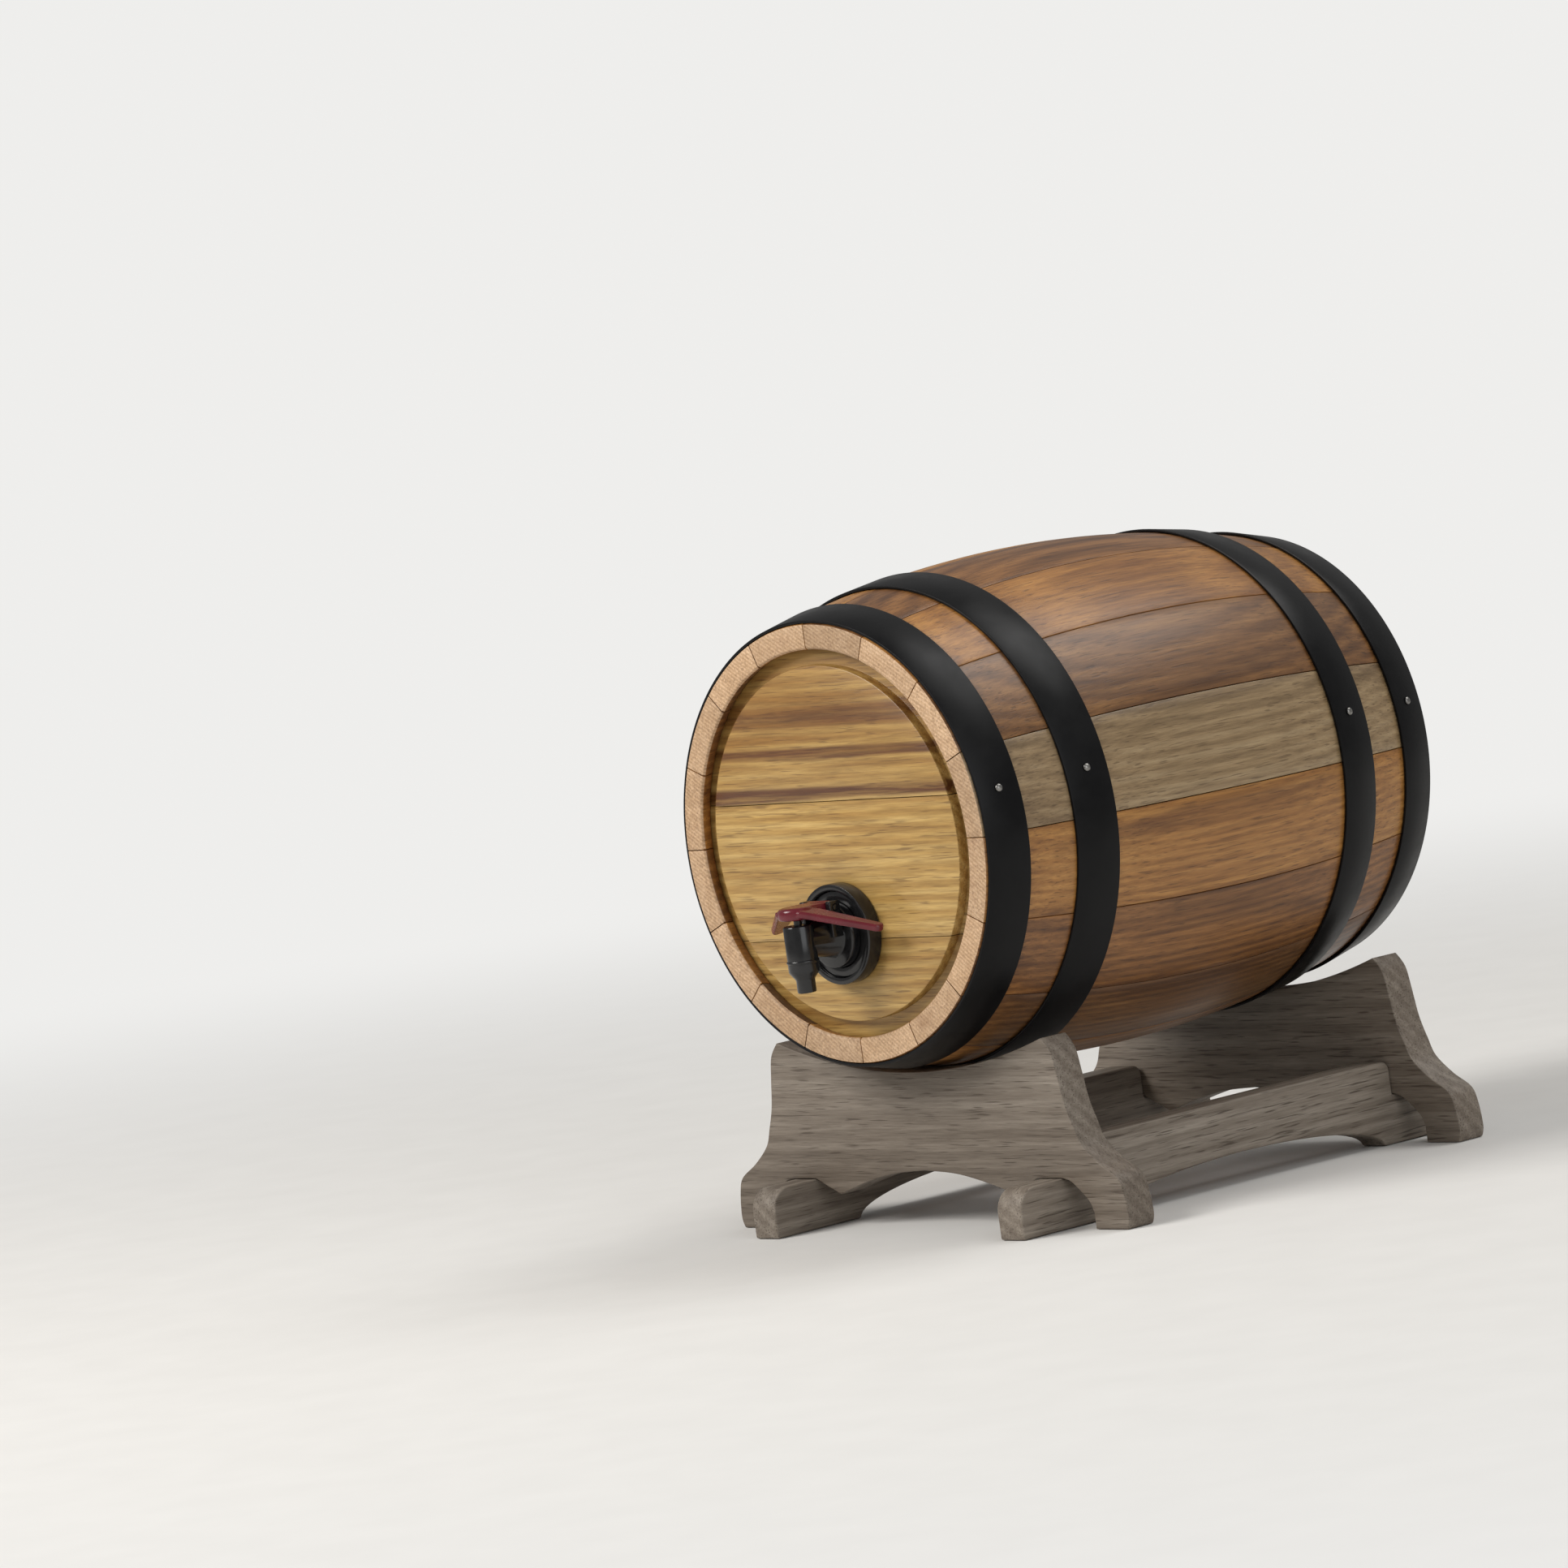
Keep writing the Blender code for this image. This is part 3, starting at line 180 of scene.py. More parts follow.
def wood(name, tones, streak, along, streak_at=(0.56, 0.70), ring=95, distortion=7, gloss=0.42, coat=0.0,
         pore=0.55, relief=0.00010, streak_size=48, figure=0.20, vary=(0.88, 1.10), bands=None):
    """Sawn wood: growth rings, heart streaks, fine lines, fibres and pores, all drawn out along the grain."""
    material = bpy.data.materials.new(name)
    material.use_nodes = True
    tree = material.node_tree
    link = tree.links.new
    shader = tree.nodes["Principled BSDF"]
    place = node(material, "TexCoord")
    mark = node(material, "Attribute", attribute_name="board")
    grain = [1.0, 1.0, 1.0]
    grain["XYZ".index(along)] = 0.045
    mapping = node(material, "Mapping", Scale=grain)
    link(place.outputs["Object"], mapping.inputs["Vector"])
    shift = node(material, "VectorMath", operation="MULTIPLY_ADD")
    shift.inputs[1].default_value = (0.137, 0.211, 0.173)
    link(mark.outputs["Vector"], shift.inputs[0])
    link(mapping.outputs["Vector"], shift.inputs[2])
    rings = node(material, "TexWave", wave_type="RINGS", rings_direction=along, Scale=ring,
                 Distortion=distortion, Detail=3.0, Detail_Scale=0.22, Detail_Roughness=0.55)
    heart = node(material, "TexNoise", Scale=streak_size, Detail=5.0, Roughness=0.62, Distortion=0.35)
    cloud = node(material, "TexNoise", Scale=17.0, Detail=2.0, Roughness=0.5)
    lines = node(material, "TexNoise", Scale=240.0, Detail=4.0, Roughness=0.65, Distortion=0.2)
    fibre = node(material, "TexNoise", Scale=900.0, Detail=3.0, Roughness=0.7)
    pores = node(material, "TexNoise", Scale=1500.0, Detail=1.0, Roughness=0.5)
    for texture in (rings, heart, cloud, lines, fibre, pores):
        link(shift.outputs["Vector"], texture.inputs["Vector"])
    total = None
    for texture, weight, base in ((rings, figure, -0.12), (lines, 0.50, 0.0), (cloud, 0.50, 0.0)):
        step = node(material, "Math", operation="MULTIPLY_ADD")
        step.inputs[1].default_value = weight
        step.inputs[2].default_value = base
        link(texture.outputs["Fac"], step.inputs[0])
        if total is not None:
            link(total.outputs[0], step.inputs[2])
        total = step
    base = ramp(material, ((0.30, tones[0]), (0.47, tones[1]), (0.64, tones[2])))
    link(total.outputs[0], base.inputs["Fac"])
    heart_mask = ramp(material, ((streak_at[0], (0, 0, 0)), (streak_at[1], (1, 1, 1))))
    link(heart.outputs["Fac"], heart_mask.inputs["Fac"])
    streaked = node(material, "Mix", data_type="RGBA")
    streaked.inputs[7].default_value = (*streak, 1)
    link(heart_mask.outputs["Color"], streaked.inputs[0])
    link(base.outputs["Color"], streaked.inputs[6])
    surface = streaked
    if bands:
        split = node(material, "SeparateXYZ")
        link(place.outputs["Object"], split.inputs[0])
        wander = node(material, "Math", operation="MULTIPLY_ADD")
        wander.inputs[1].default_value = 0.016
        link(heart.outputs["Fac"], wander.inputs[0])
        link(split.outputs["Z"], wander.inputs[2])
        height = node(material, "MapRange")
        height.inputs["From Min"].default_value = bands[0] + 0.008
        height.inputs["From Max"].default_value = bands[1] + 0.008
        link(wander.outputs[0], height.inputs["Value"])
        band_mask = ramp(material, [(at, (dark, dark, dark)) for at, dark in bands[2]])
        link(height.outputs["Result"], band_mask.inputs["Fac"])
        ragged = node(material, "MapRange")
        ragged.inputs["From Min"].default_value = 0.40
        ragged.inputs["From Max"].default_value = 0.52
        ragged.inputs["To Min"].default_value = 0.45
        link(lines.outputs["Fac"], ragged.inputs["Value"])
        both = node(material, "Math", operation="MULTIPLY")
        link(band_mask.outputs["Color"], both.inputs[0])
        link(ragged.outputs["Result"], both.inputs[1])
        surface = node(material, "Mix", data_type="RGBA")
        surface.inputs[7].default_value = (*streak, 1)
        link(both.outputs[0], surface.inputs[0])
        link(streaked.outputs[2], surface.inputs[6])
    fibre_tone = ramp(material, ((0.30, (0.70, 0.67, 0.64)), (0.66, (1.12, 1.12, 1.12))))
    link(fibre.outputs["Fac"], fibre_tone.inputs["Fac"])
    lined = node(material, "Mix", data_type="RGBA", blend_type="MULTIPLY")
    lined.inputs[0].default_value = 1.0
    link(surface.outputs[2], lined.inputs[6])
    link(fibre_tone.outputs["Color"], lined.inputs[7])
    own = node(material, "TexWhiteNoise", noise_dimensions="1D")
    link(mark.outputs["Fac"], own.inputs["W"])
    own_tone = node(material, "MapRange")
    own_tone.inputs["To Min"].default_value = vary[0]
    own_tone.inputs["To Max"].default_value = vary[1]
    link(own.outputs["Value"], own_tone.inputs["Value"])
    toned = node(material, "VectorMath", operation="SCALE")
    link(lined.outputs[2], toned.inputs[0])
    link(own_tone.outputs["Result"], toned.inputs["Scale"])
    pore_mask = ramp(material, ((0.60, (0, 0, 0)), (0.70, (pore, pore, pore))))
    link(pores.outputs["Fac"], pore_mask.inputs["Fac"])
    pored = node(material, "Mix", data_type="RGBA")
    pored.inputs[7].default_value = (streak[0] * 0.5, streak[1] * 0.45, streak[2] * 0.4, 1)
    link(pore_mask.outputs["Color"], pored.inputs[0])
    link(toned.outputs["Vector"], pored.inputs[6])
    link(pored.outputs[2], shader.inputs["Base Color"])
    sheen = node(material, "MapRange")
    sheen.inputs["From Min"].default_value = 0.3
    sheen.inputs["From Max"].default_value = 0.7
    sheen.inputs["To Min"].default_value = gloss - 0.07
    sheen.inputs["To Max"].default_value = gloss + 0.09
    link(heart.outputs["Fac"], sheen.inputs["Value"])
    link(sheen.outputs["Result"], shader.inputs["Roughness"])
    height = node(material, "Math", operation="MULTIPLY_ADD")
    height.inputs[1].default_value = -0.8
    link(pore_mask.outputs["Color"], height.inputs[0])
    link(fibre.outputs["Fac"], height.inputs[2])
    bump = node(material, "Bump", Strength=0.6, Distance=relief)
    link(height.outputs[0], bump.inputs["Height"])
    link(bump.outputs["Normal"], shader.inputs["Normal"])
    shader.inputs["Coat Weight"].default_value = coat
    shader.inputs["Coat Roughness"].default_value = 0.25
    return material


def cradle_outline():
    """The whole outline of a cradle board, as (x, height)."""
    tip = math.asin(seat_half / seat_radius)
    seat = []
    for step in range(25):
        angle = tip * step / 24
        seat.append((seat_radius * math.sin(angle), seat_height + seat_radius * (1 - math.cos(angle))))
    side = [seat[-1]] + [(x * board_half_width, z * seat[-1][1]) for x, z in side_shares]
    top = rail_toe_height + 0.0003
    outer = rail_offset + rail_thickness / 2
    notch = [(foot_inner, 0), (foot_inner, notch_low)]
    for share, up in reversed(notch_shares):
        notch.append((outer + share * (foot_inner - outer), notch_low + up * (top - notch_low)))
    notch.append((outer, top))
    arch = [cusp] + [(x * cusp[0], cusp[1] + z * (arch_height - cusp[1])) for x, z in arch_shares]
    arch.append((0, arch_height))
    half = seat + smooth_through(side, 6)[1:] + notch[:1] + smooth_through(notch[1:], 4)
    half += [(rail_offset - rail_thickness / 2, top)] + smooth_through(arch, 7)
    return half + [(-x, z) for x, z in reversed(half[1:-1])]


stand_wood = wood("stand_wood", ((0.150, 0.120, 0.092), (0.205, 0.170, 0.135), (0.270, 0.232, 0.190)),
                  (0.120, 0.092, 0.068), "X", streak_at=(0.58, 0.80), ring=60, distortion=8, gloss=0.58,
                  pore=0.8, relief=0.00018, streak_size=90, figure=0.14)
for number, cradle_name in enumerate(("cradle_front", "cradle_rear")):
    low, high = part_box(cradle_name)
    cradle = draw("board_" + cradle_name, [(x, low.y, z) for x, z in cradle_outline()])
    slab(cradle, (0, high.y - low.y, 0))
    ease(cradle, 0.0011, 3, 38)
    board_number(cradle, 20 + number)
    dress(cradle, stand_wood, "stand", "stand_wood", cradle_name)

# Rails. Two boards set on edge join the cradles: each has a low rounded toe past each cradle, a
# higher middle between them and a long flat arch below. The cradles sit on the toes.
rail_length = 0.250
rail_height = 0.034
rail_foot = 0.046
rail_arch = 0.0125
cradle_behind = 0.024 + board_thickness + 0.0003


def quarter(centre, radius, start, end, steps=8):
    """Points on an arc between two angles in degrees."""
    line = []
    for step in range(steps + 1):
        angle = math.radians(start + (end - start) * step / steps)
        line.append((centre[0] + radius * math.cos(angle), centre[1] + radius * math.sin(angle)))
    return line


rail_front = [(0, 0)] + quarter((0.009, rail_toe_height - 0.009), 0.009, 180, 90)
rail_front += [(cradle_behind, rail_toe_height)]
rail_front += quarter((cradle_behind + 0.004, rail_height - 0.004), 0.004, 180, 90)
rail_line = rail_front + [(rail_length - y, z) for y, z in reversed(rail_front)]
span = rail_length / 2 - rail_foot
for step in range(33):
    share = math.cos(math.pi * step / 32)
    rail_line.append((rail_length / 2 + span * share, rail_arch * math.sqrt(max(0, 1 - share * share))))
rail_wood = wood("rail_wood", ((0.140, 0.112, 0.088), (0.195, 0.163, 0.130), (0.262, 0.226, 0.186)),
                 (0.115, 0.090, 0.068), "Y", streak_at=(0.58, 0.80), ring=60, distortion=8, gloss=0.6,
                 pore=0.8, relief=0.00018, streak_size=90, figure=0.14)
for number, rail_name in enumerate(("rail_left", "rail_right")):
    low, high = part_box(rail_name)
    rail = draw("board_" + rail_name, [(low.x, low.y + y, z) for y, z in rail_line])
    slab(rail, (high.x - low.x, 0, 0))
    ease(rail, 0.0010, 3, 38)
    board_number(rail, 24 + number)
    dress(rail, rail_wood, "stand", "stand_wood", rail_name)

# Dowels. Four plain beech pins, glued upright through the rails' toes into the cradles, hold the
# stand together. They are wholly inside the wood, so the CAD pins stay as they are.
dowel_wood = wood("dowel_wood", ((0.30, 0.19, 0.10), (0.42, 0.28, 0.15), (0.50, 0.35, 0.20)),
                  (0.24, 0.15, 0.08), "Z", gloss=0.65)
for dowel_name in ("dowel_front_left", "dowel_front_right", "dowel_rear_left", "dowel_rear_right"):
    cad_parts[dowel_name].data.materials.clear()
    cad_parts[dowel_name].data.materials.append(dowel_wood)

# Staves. Sixteen bowed staves of oak in mixed tones, stained and satin varnished, with their ends
# sawn and left pale. Each is turned from its section through a sixteenth of the way round.
axis_height = (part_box("hoop_front_end")[0].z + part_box("hoop_front_end")[1].z) / 2
cask_length = 0.250
end_radius = 0.088
bulge_radius = 0.103
stave_thickness = 0.0105
croze_front = 0.0057
croze_back = 0.0123
croze_depth = 0.0030
chime = 0.0012


def cask_radius(y):
    """Outer radius of the bare staves, y behind the front stave ends."""
    share = 2 * y / cask_length - 1
    return bulge_radius - (bulge_radius - end_radius) * share * share


def bore_radius(y):
    return cask_radius(y) - stave_thickness


def spin_round(piece, steps, angle=2 * math.pi, centre=(0, 0, 0), axis=(0, 1, 0)):
    """The drawn profile turned about its axis and closed."""
    only(piece)
    bpy.ops.object.mode_set(mode="EDIT")
    bpy.ops.mesh.select_all(action="SELECT")
    bpy.ops.mesh.spin(steps=steps, angle=angle, center=centre, axis=axis)
    bpy.ops.mesh.select_all(action="SELECT")
    bpy.ops.mesh.remove_doubles(threshold=0.000002)
    bpy.ops.mesh.normals_make_consistent(inside=False)
    bpy.ops.object.mode_set(mode="OBJECT")
    return piece


stave_outer = [(cask_radius(cask_length * i / 30), cask_length * i / 30) for i in range(31)]
stave_inner = [(bore_radius(cask_length) + chime, cask_length)]
stave_inner += [(bore_radius(cask_length - chime), cask_length - chime)]
stave_inner += [(bore_radius(cask_length * i / 30), cask_length * i / 30) for i in range(29, 1, -1)]
stave_inner += [(bore_radius(croze_back), croze_back), (bore_radius(0.012) + croze_depth, croze_back)]
stave_inner += [(bore_radius(0.012) + croze_depth, croze_front), (bore_radius(croze_front), croze_front)]
stave_inner += [(bore_radius(chime), chime), (bore_radius(0) + chime, 0)]
stave_sweep = 2 * math.pi / 16 - 0.0003 / bulge_radius
half_sweep = stave_sweep / 2
section = [(r * math.cos(half_sweep), y, -r * math.sin(half_sweep)) for r, y in stave_outer + stave_inner]
stave_pattern = draw("stave_pattern", section)
only(stave_pattern)
bpy.ops.object.mode_set(mode="EDIT")
bpy.ops.mesh.select_all(action="SELECT")
bpy.ops.mesh.edge_face_add()
bpy.ops.mesh.spin(steps=8, angle=stave_sweep, center=(0, 0, 0), axis=(0, 1, 0), use_auto_merge=False)
bpy.ops.mesh.select_all(action="SELECT")
bpy.ops.mesh.normals_make_consistent(inside=False)
bpy.ops.object.mode_set(mode="OBJECT")
ease(stave_pattern, 0.00035, 2, 50)

stave_tones = {
    "gold": (((0.200, 0.080, 0.018), (0.350, 0.158, 0.038), (0.455, 0.228, 0.062)), (0.105, 0.036, 0.010)),
    "amber": (((0.125, 0.050, 0.014), (0.250, 0.108, 0.030), (0.355, 0.166, 0.050)), (0.060, 0.022, 0.008)),
    "brown": (((0.090, 0.038, 0.013), (0.180, 0.082, 0.027), (0.275, 0.138, 0.048)), (0.045, 0.018, 0.008)),
    "pale": (((0.200, 0.130, 0.062), (0.315, 0.215, 0.110), (0.390, 0.285, 0.160)), (0.120, 0.066, 0.028)),
}
stave_woods = {}
for tone, (shades, dark) in stave_tones.items():
    stave_woods[tone] = wood("stave_wood_" + tone, shades, dark, "Y", ring=80, distortion=9, gloss=0.40,
                             coat=0.12, pore=0.5, relief=0.00009, streak_size=42, streak_at=(0.56, 0.76),
                             figure=0.12)
stave_ends = wood("stave_end_grain", ((0.400, 0.250, 0.135), (0.510, 0.335, 0.195), (0.600, 0.415, 0.262)),
                  (0.290, 0.160, 0.080), "Y", streak_at=(0.58, 0.85), ring=210, distortion=3, gloss=0.55,
                  pore=0.45, relief=0.00010, streak_size=60, vary=(0.84, 1.14))
stave_order = ("pale", "brown", "gold", "amber", "gold", "brown", "amber", "gold")
stave_order += ("amber", "gold", "brown", "gold", "amber", "brown", "amber", "gold")
for index, tone in enumerate(stave_order):
    only(stave_pattern)
    bpy.ops.object.duplicate(linked=False)
    stave = bpy.context.object
    stave.name = "oak_stave_%02d" % (index + 1)
    stave.rotation_euler = (0, -2 * math.pi * (index + 0.5) / 16, 0)
    stave.location = (0, front_plane, axis_height)
    bpy.ops.object.transform_apply(location=True, rotation=True, scale=True)
    board_number(stave, index + 1)
    dress(stave, (stave_woods[tone], stave_ends), "cask", "stave_" + tone, "stave_%02d" % (index + 1))
    for face in stave.data.polygons:
        face.material_index = 1 if abs(face.normal.y) > 0.6 else 0
bpy.data.objects.remove(stave_pattern, do_unlink=True)

# Front head. Three boards of light golden oak, edge to edge, with a raised round panel and a
# thinner rim that sits in the groove of the staves. The tap's hole is bored across a joint.
tap_height = axis_height - 0.0355
head_face = 0.0015
head_flange = 0.006
head_back = 0.012
head_rim = bore_radius(head_back) + croze_depth - 0.0003
head_panel = 0.0715
joint_heights = (0.017, -0.0385)
joint_gap = 0.0003
tap_hole = 0.0176


def trim(piece, height, keep_above):
    """Saws the piece level at a height and keeps one side."""
    only(piece)
    bpy.ops.object.mode_set(mode="EDIT")
    bpy.ops.mesh.select_all(action="SELECT")
    bpy.ops.mesh.bisect(plane_co=(0, 0, height), plane_no=(0, 0, 1), use_fill=True,
                        clear_inner=keep_above, clear_outer=not keep_above)
    bpy.ops.mesh.select_all(action="SELECT")
    bpy.ops.mesh.normals_make_consistent(inside=False)
    bpy.ops.object.mode_set(mode="OBJECT")


def combine(piece, tool, operation="DIFFERENCE"):
    """Cuts the tool out of the piece, or joins it on, and clears the tool away."""
    only(piece)
    bpy.ops.object.modifier_add(type="BOOLEAN")
    step = piece.modifiers[-1]
    step.operation = operation
    step.solver = "EXACT"
    step.object = tool
    bpy.ops.object.modifier_apply(modifier=step.name)
    bpy.data.objects.remove(tool, do_unlink=True)
    return piece


def copy_of(piece, name):
    """A copy with its own mesh."""
    only(piece)
    bpy.ops.object.duplicate(linked=False)
    made = bpy.context.object
    made.name = name
    made.data.name = name
    return made


def rod(name, radius, low, high, across="Y", vertices=96):
    """A plain cylinder between two points, used as a drill or as a boss."""
    middle = [(a + b) / 2 for a, b in zip(low, high)]
    length = (Vector(high) - Vector(low)).length
    turn = {"X": (0, math.pi / 2, 0), "Y": (math.pi / 2, 0, 0), "Z": (0, 0, 0)}[across]
    bpy.ops.object.select_all(action="DESELECT")
    bpy.ops.mesh.primitive_cylinder_add(vertices=vertices, radius=radius, depth=length,
                                        location=middle, rotation=turn)
    made = bpy.context.object
    made.name = name
    bpy.ops.object.transform_apply(location=True, rotation=True, scale=True)
    return made


def sawn_disc(name, profile, nodes, material, body, slot, first_number, holes):
    """A turned disc sawn into three level boards, each with its eased edges and its own grain."""
    whole = draw(name, [(r, front_plane + y, axis_height) for r, y in profile], closed=False)
    spin_round(whole, 160, centre=(0, 0, axis_height))
    limits = ((joint_heights[0], None), (joint_heights[1], joint_heights[0]), (None, joint_heights[1]))
    for number, (low, high) in enumerate(limits):
        board = copy_of(whole, name + "_" + ("top", "middle", "bottom")[number])
        if low is not None:
            trim(board, axis_height + low + joint_gap / 2, True)
        if high is not None:
            trim(board, axis_height + high - joint_gap / 2, False)
        for radius, x, z, which in holes:
            if number in which:
                drill_ends = (x, front_plane - 0.02, z), (x, front_plane + cask_length + 0.02, z)
                combine(board, rod("drill", radius, *drill_ends))
        ease(board, 0.00025, 2, 50)
        board_number(board, first_number + number)
        dress(board, material, body, slot, nodes[number])
    bpy.data.objects.remove(whole, do_unlink=True)


head_bands = ((0.0, 0.0), (0.225, 0.0), (0.255, 0.45), (0.275, 0.0), (0.600, 0.0), (0.612, 1.0), (0.636, 1.0),
              (0.648, 0.1), (0.705, 0.05), (0.716, 0.95), (0.732, 0.9), (0.744, 0.0), (0.795, 0.05), (0.808, 0.9),
              (0.842, 0.75), (0.860, 0.05), (1.0, 0.0))
head_wood = wood("head_wood", ((0.270, 0.135, 0.030), (0.430, 0.262, 0.076), (0.580, 0.400, 0.150)),
                 (0.110, 0.036, 0.008), "X", streak_at=(0.60, 0.74), ring=85, distortion=6, gloss=0.44,
                 coat=0.08, pore=0.45, relief=0.00008, streak_size=30, figure=0.10, vary=(0.95, 1.05),
                 bands=(axis_height - 0.079, axis_height + 0.079, head_bands))
head_profile = [(0, head_back), (head_rim, head_back), (head_rim, head_flange), (head_panel, head_flange)]
head_profile += [(head_panel, head_face + 0.0006), (head_panel - 0.0002, head_face + 0.0002)]
head_profile += [(head_panel - 0.0006, head_face), (0, head_face)]
sawn_disc("head", head_profile, ("head_board_top", "head_board_middle", "head_board_bottom"), head_wood,
          "cask", "head_oak", 31, ((tap_hole, 0, tap_height, (1, 2)),))

# Hoops. Four bands of black enamelled steel strip, driven on from the ends, so each is a little
# wider on the side of the bulge. Their edges are rounded and their faces faintly uneven.
hoop_thickness = 0.0012
hoop_seat = 0.0003


def mottled(name, scale, tones, glosses, detail=3.0, roughness=0.6, metallic=0.0):
    """A coating, a moulding or a metal whose tone and gloss vary softly over its surface."""
    material = bpy.data.materials.new(name)
    material.use_nodes = True
    link = material.node_tree.links.new
    shader = material.node_tree.nodes["Principled BSDF"]
    shader.inputs["Metallic"].default_value = metallic
    place = node(material, "TexCoord")
    cloud = node(material, "TexNoise", Scale=scale, Detail=detail, Roughness=roughness)
    tone = ramp(material, tones)
    gloss = ramp(material, [(at, (value, value, value)) for at, value in glosses])
    link(place.outputs["Object"], cloud.inputs["Vector"])
    link(cloud.outputs["Fac"], tone.inputs["Fac"])
    link(cloud.outputs["Fac"], gloss.inputs["Fac"])
    link(tone.outputs["Color"], shader.inputs["Base Color"])
    link(gloss.outputs["Color"], shader.inputs["Roughness"])
    return material


def uneven(material, scale, strength, depth, detail, roughness):
    """Faint bumps over a surface."""
    link = material.node_tree.links.new
    place = node(material, "TexCoord")
    peel = node(material, "TexNoise", Scale=scale, Detail=detail, Roughness=roughness)
    bump = node(material, "Bump", Strength=strength, Distance=depth)
    link(place.outputs["Object"], peel.inputs["Vector"])
    link(peel.outputs["Fac"], bump.inputs["Height"])
    link(bump.outputs["Normal"], material.node_tree.nodes["Principled BSDF"].inputs["Normal"])


enamel = mottled("hoop_enamel", 55.0, ((0.35, (0.0025, 0.0025, 0.003)), (0.75, (0.006, 0.006, 0.0065))),
                 ((0.3, 0.30), (0.75, 0.46)), detail=4.0)
enamel.node_tree.nodes["Principled BSDF"].inputs["Specular IOR Level"].default_value = 0.16
uneven(enamel, 650.0, strength=0.25, depth=0.00006, detail=2.0, roughness=0.5)
hoop_places = (
    ("hoop_front_end", 0.0006, 0.0185),
    ("hoop_front_quarter", 0.041, 0.020),
    ("hoop_rear_quarter", 0.189, 0.020),
    ("hoop_rear_end", 0.2309, 0.0185),
)
for hoop_name, setback, width in hoop_places:
    hoop_line = []
    for y in (setback, setback + width):
        hoop_line.append((cask_radius(y) + hoop_seat, y))
    for y in (setback + width, setback):
        hoop_line.append((cask_radius(y) + hoop_seat + hoop_thickness, y))
    band = draw("steel_" + hoop_name, [(r, front_plane + y, axis_height) for r, y in hoop_line])
    spin_round(band, 192, centre=(0, 0, axis_height))
    ease(band, 0.00035, 2, 50)
    dress(band, enamel, "cask", "hoop_black", hoop_name)

# Tacks. One small round-headed steel nail pins each hoop to a stave on the right-hand side. The
# heads are bare steel and catch the light.
steel = mottled("tack_steel", 900.0, ((0.3, (0.16, 0.155, 0.15)), (0.7, (0.34, 0.33, 0.31))),
                ((0.3, 0.24), (0.7, 0.42)), metallic=1.0)
tack_head = 0.0016
tack_dome = 0.0009
tack_shank = 0.0008
tack_line = [(0, tack_dome)]
for degrees in (15, 30, 45, 60, 75, 86):
    angle = math.radians(degrees)
    tack_line.append((tack_head * math.sin(angle), tack_dome * math.cos(angle)))
tack_line += [(tack_head, 0), (tack_shank, 0), (tack_shank, -0.005), (0, -0.006)]
tack_angle = math.pi / 16
for tack_name, setback, width in hoop_places:
    middle = setback + width / 2
    tack = draw("nail_" + tack_name[5:], [(r, 0, h) for r, h in tack_line], closed=False)
    spin_round(tack, 32, axis=(0, 0, 1))
    share = 2 * middle / cask_length - 1
    lean = math.atan(-4 * (bulge_radius - end_radius) * share / cask_length)
    tack.rotation_euler = (lean, 0, 0)
    only(tack)
    bpy.ops.object.transform_apply(location=True, rotation=True, scale=True)
    root = cask_radius(middle) + hoop_seat + hoop_thickness + 0.0003
    tack.rotation_euler = (0, math.pi / 2 - tack_angle, 0)
    across, height = root * math.cos(tack_angle), root * math.sin(tack_angle)
    tack.location = (across, front_plane + middle, axis_height + height)
    bpy.ops.object.transform_apply(location=True, rotation=True, scale=True)
    dress(tack, steel, "cask", "tack_steel", "tack_" + tack_name[5:])

# Cleats and threaded inserts. Two beech blocks, glued to the staves inside the rear of the cask,
# hold the brass inserts that take the lid's thumbscrews.
bare_wood = wood("bare_beech", ((0.30, 0.19, 0.10), (0.42, 0.28, 0.15), (0.50, 0.35, 0.20)),
                 (0.24, 0.15, 0.08), "Z", streak_at=(0.6, 0.9), ring=160, gloss=0.62)
brass = mottled("turned_brass", 320.0, ((0.3, (0.38, 0.235, 0.070)), (0.7, (0.56, 0.37, 0.125))),
                ((0.3, 0.22), (0.7, 0.40)), detail=4.0, metallic=1.0)
for kind, finish in (("cleat_", bare_wood), ("insert_", brass)):
    for side_name in ("left", "right"):
        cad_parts[kind + side_name].data.materials.clear()
        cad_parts[kind + side_name].data.materials.append(finish)

# Rear lid. Three boards of the same oak on two battens, a loose fit inside the stave ends, with a
# screw hole at each side. It lifts out so that the bag can be changed.
lid_out = cask_length - 0.003
lid_in = lid_out - 0.010
lid_radius = bore_radius(cask_length) - 0.0007
screw_offset = 0.068
screw_hole = 0.0023
lid_wood = wood("lid_wood", ((0.260, 0.135, 0.036), (0.390, 0.232, 0.070), (0.500, 0.330, 0.122)),
                (0.140, 0.055, 0.016), "X", streak_at=(0.60, 0.80), ring=85, distortion=6, gloss=0.47,
                pore=0.5, relief=0.00009, streak_size=34, figure=0.10)
lid_profile = [(0, lid_in), (lid_radius, lid_in), (lid_radius, lid_out - 0.0010)]
lid_profile += [(lid_radius - 0.0003, lid_out - 0.0003), (lid_radius - 0.0010, lid_out), (0, lid_out)]
lid_holes = [(screw_hole, side * screw_offset, axis_height, (1,)) for side in (1, -1)]
sawn_disc("lid", lid_profile, ("lid_board_top", "lid_board_middle", "lid_board_bottom"), lid_wood, "lid",
          "lid_oak", 41, lid_holes)
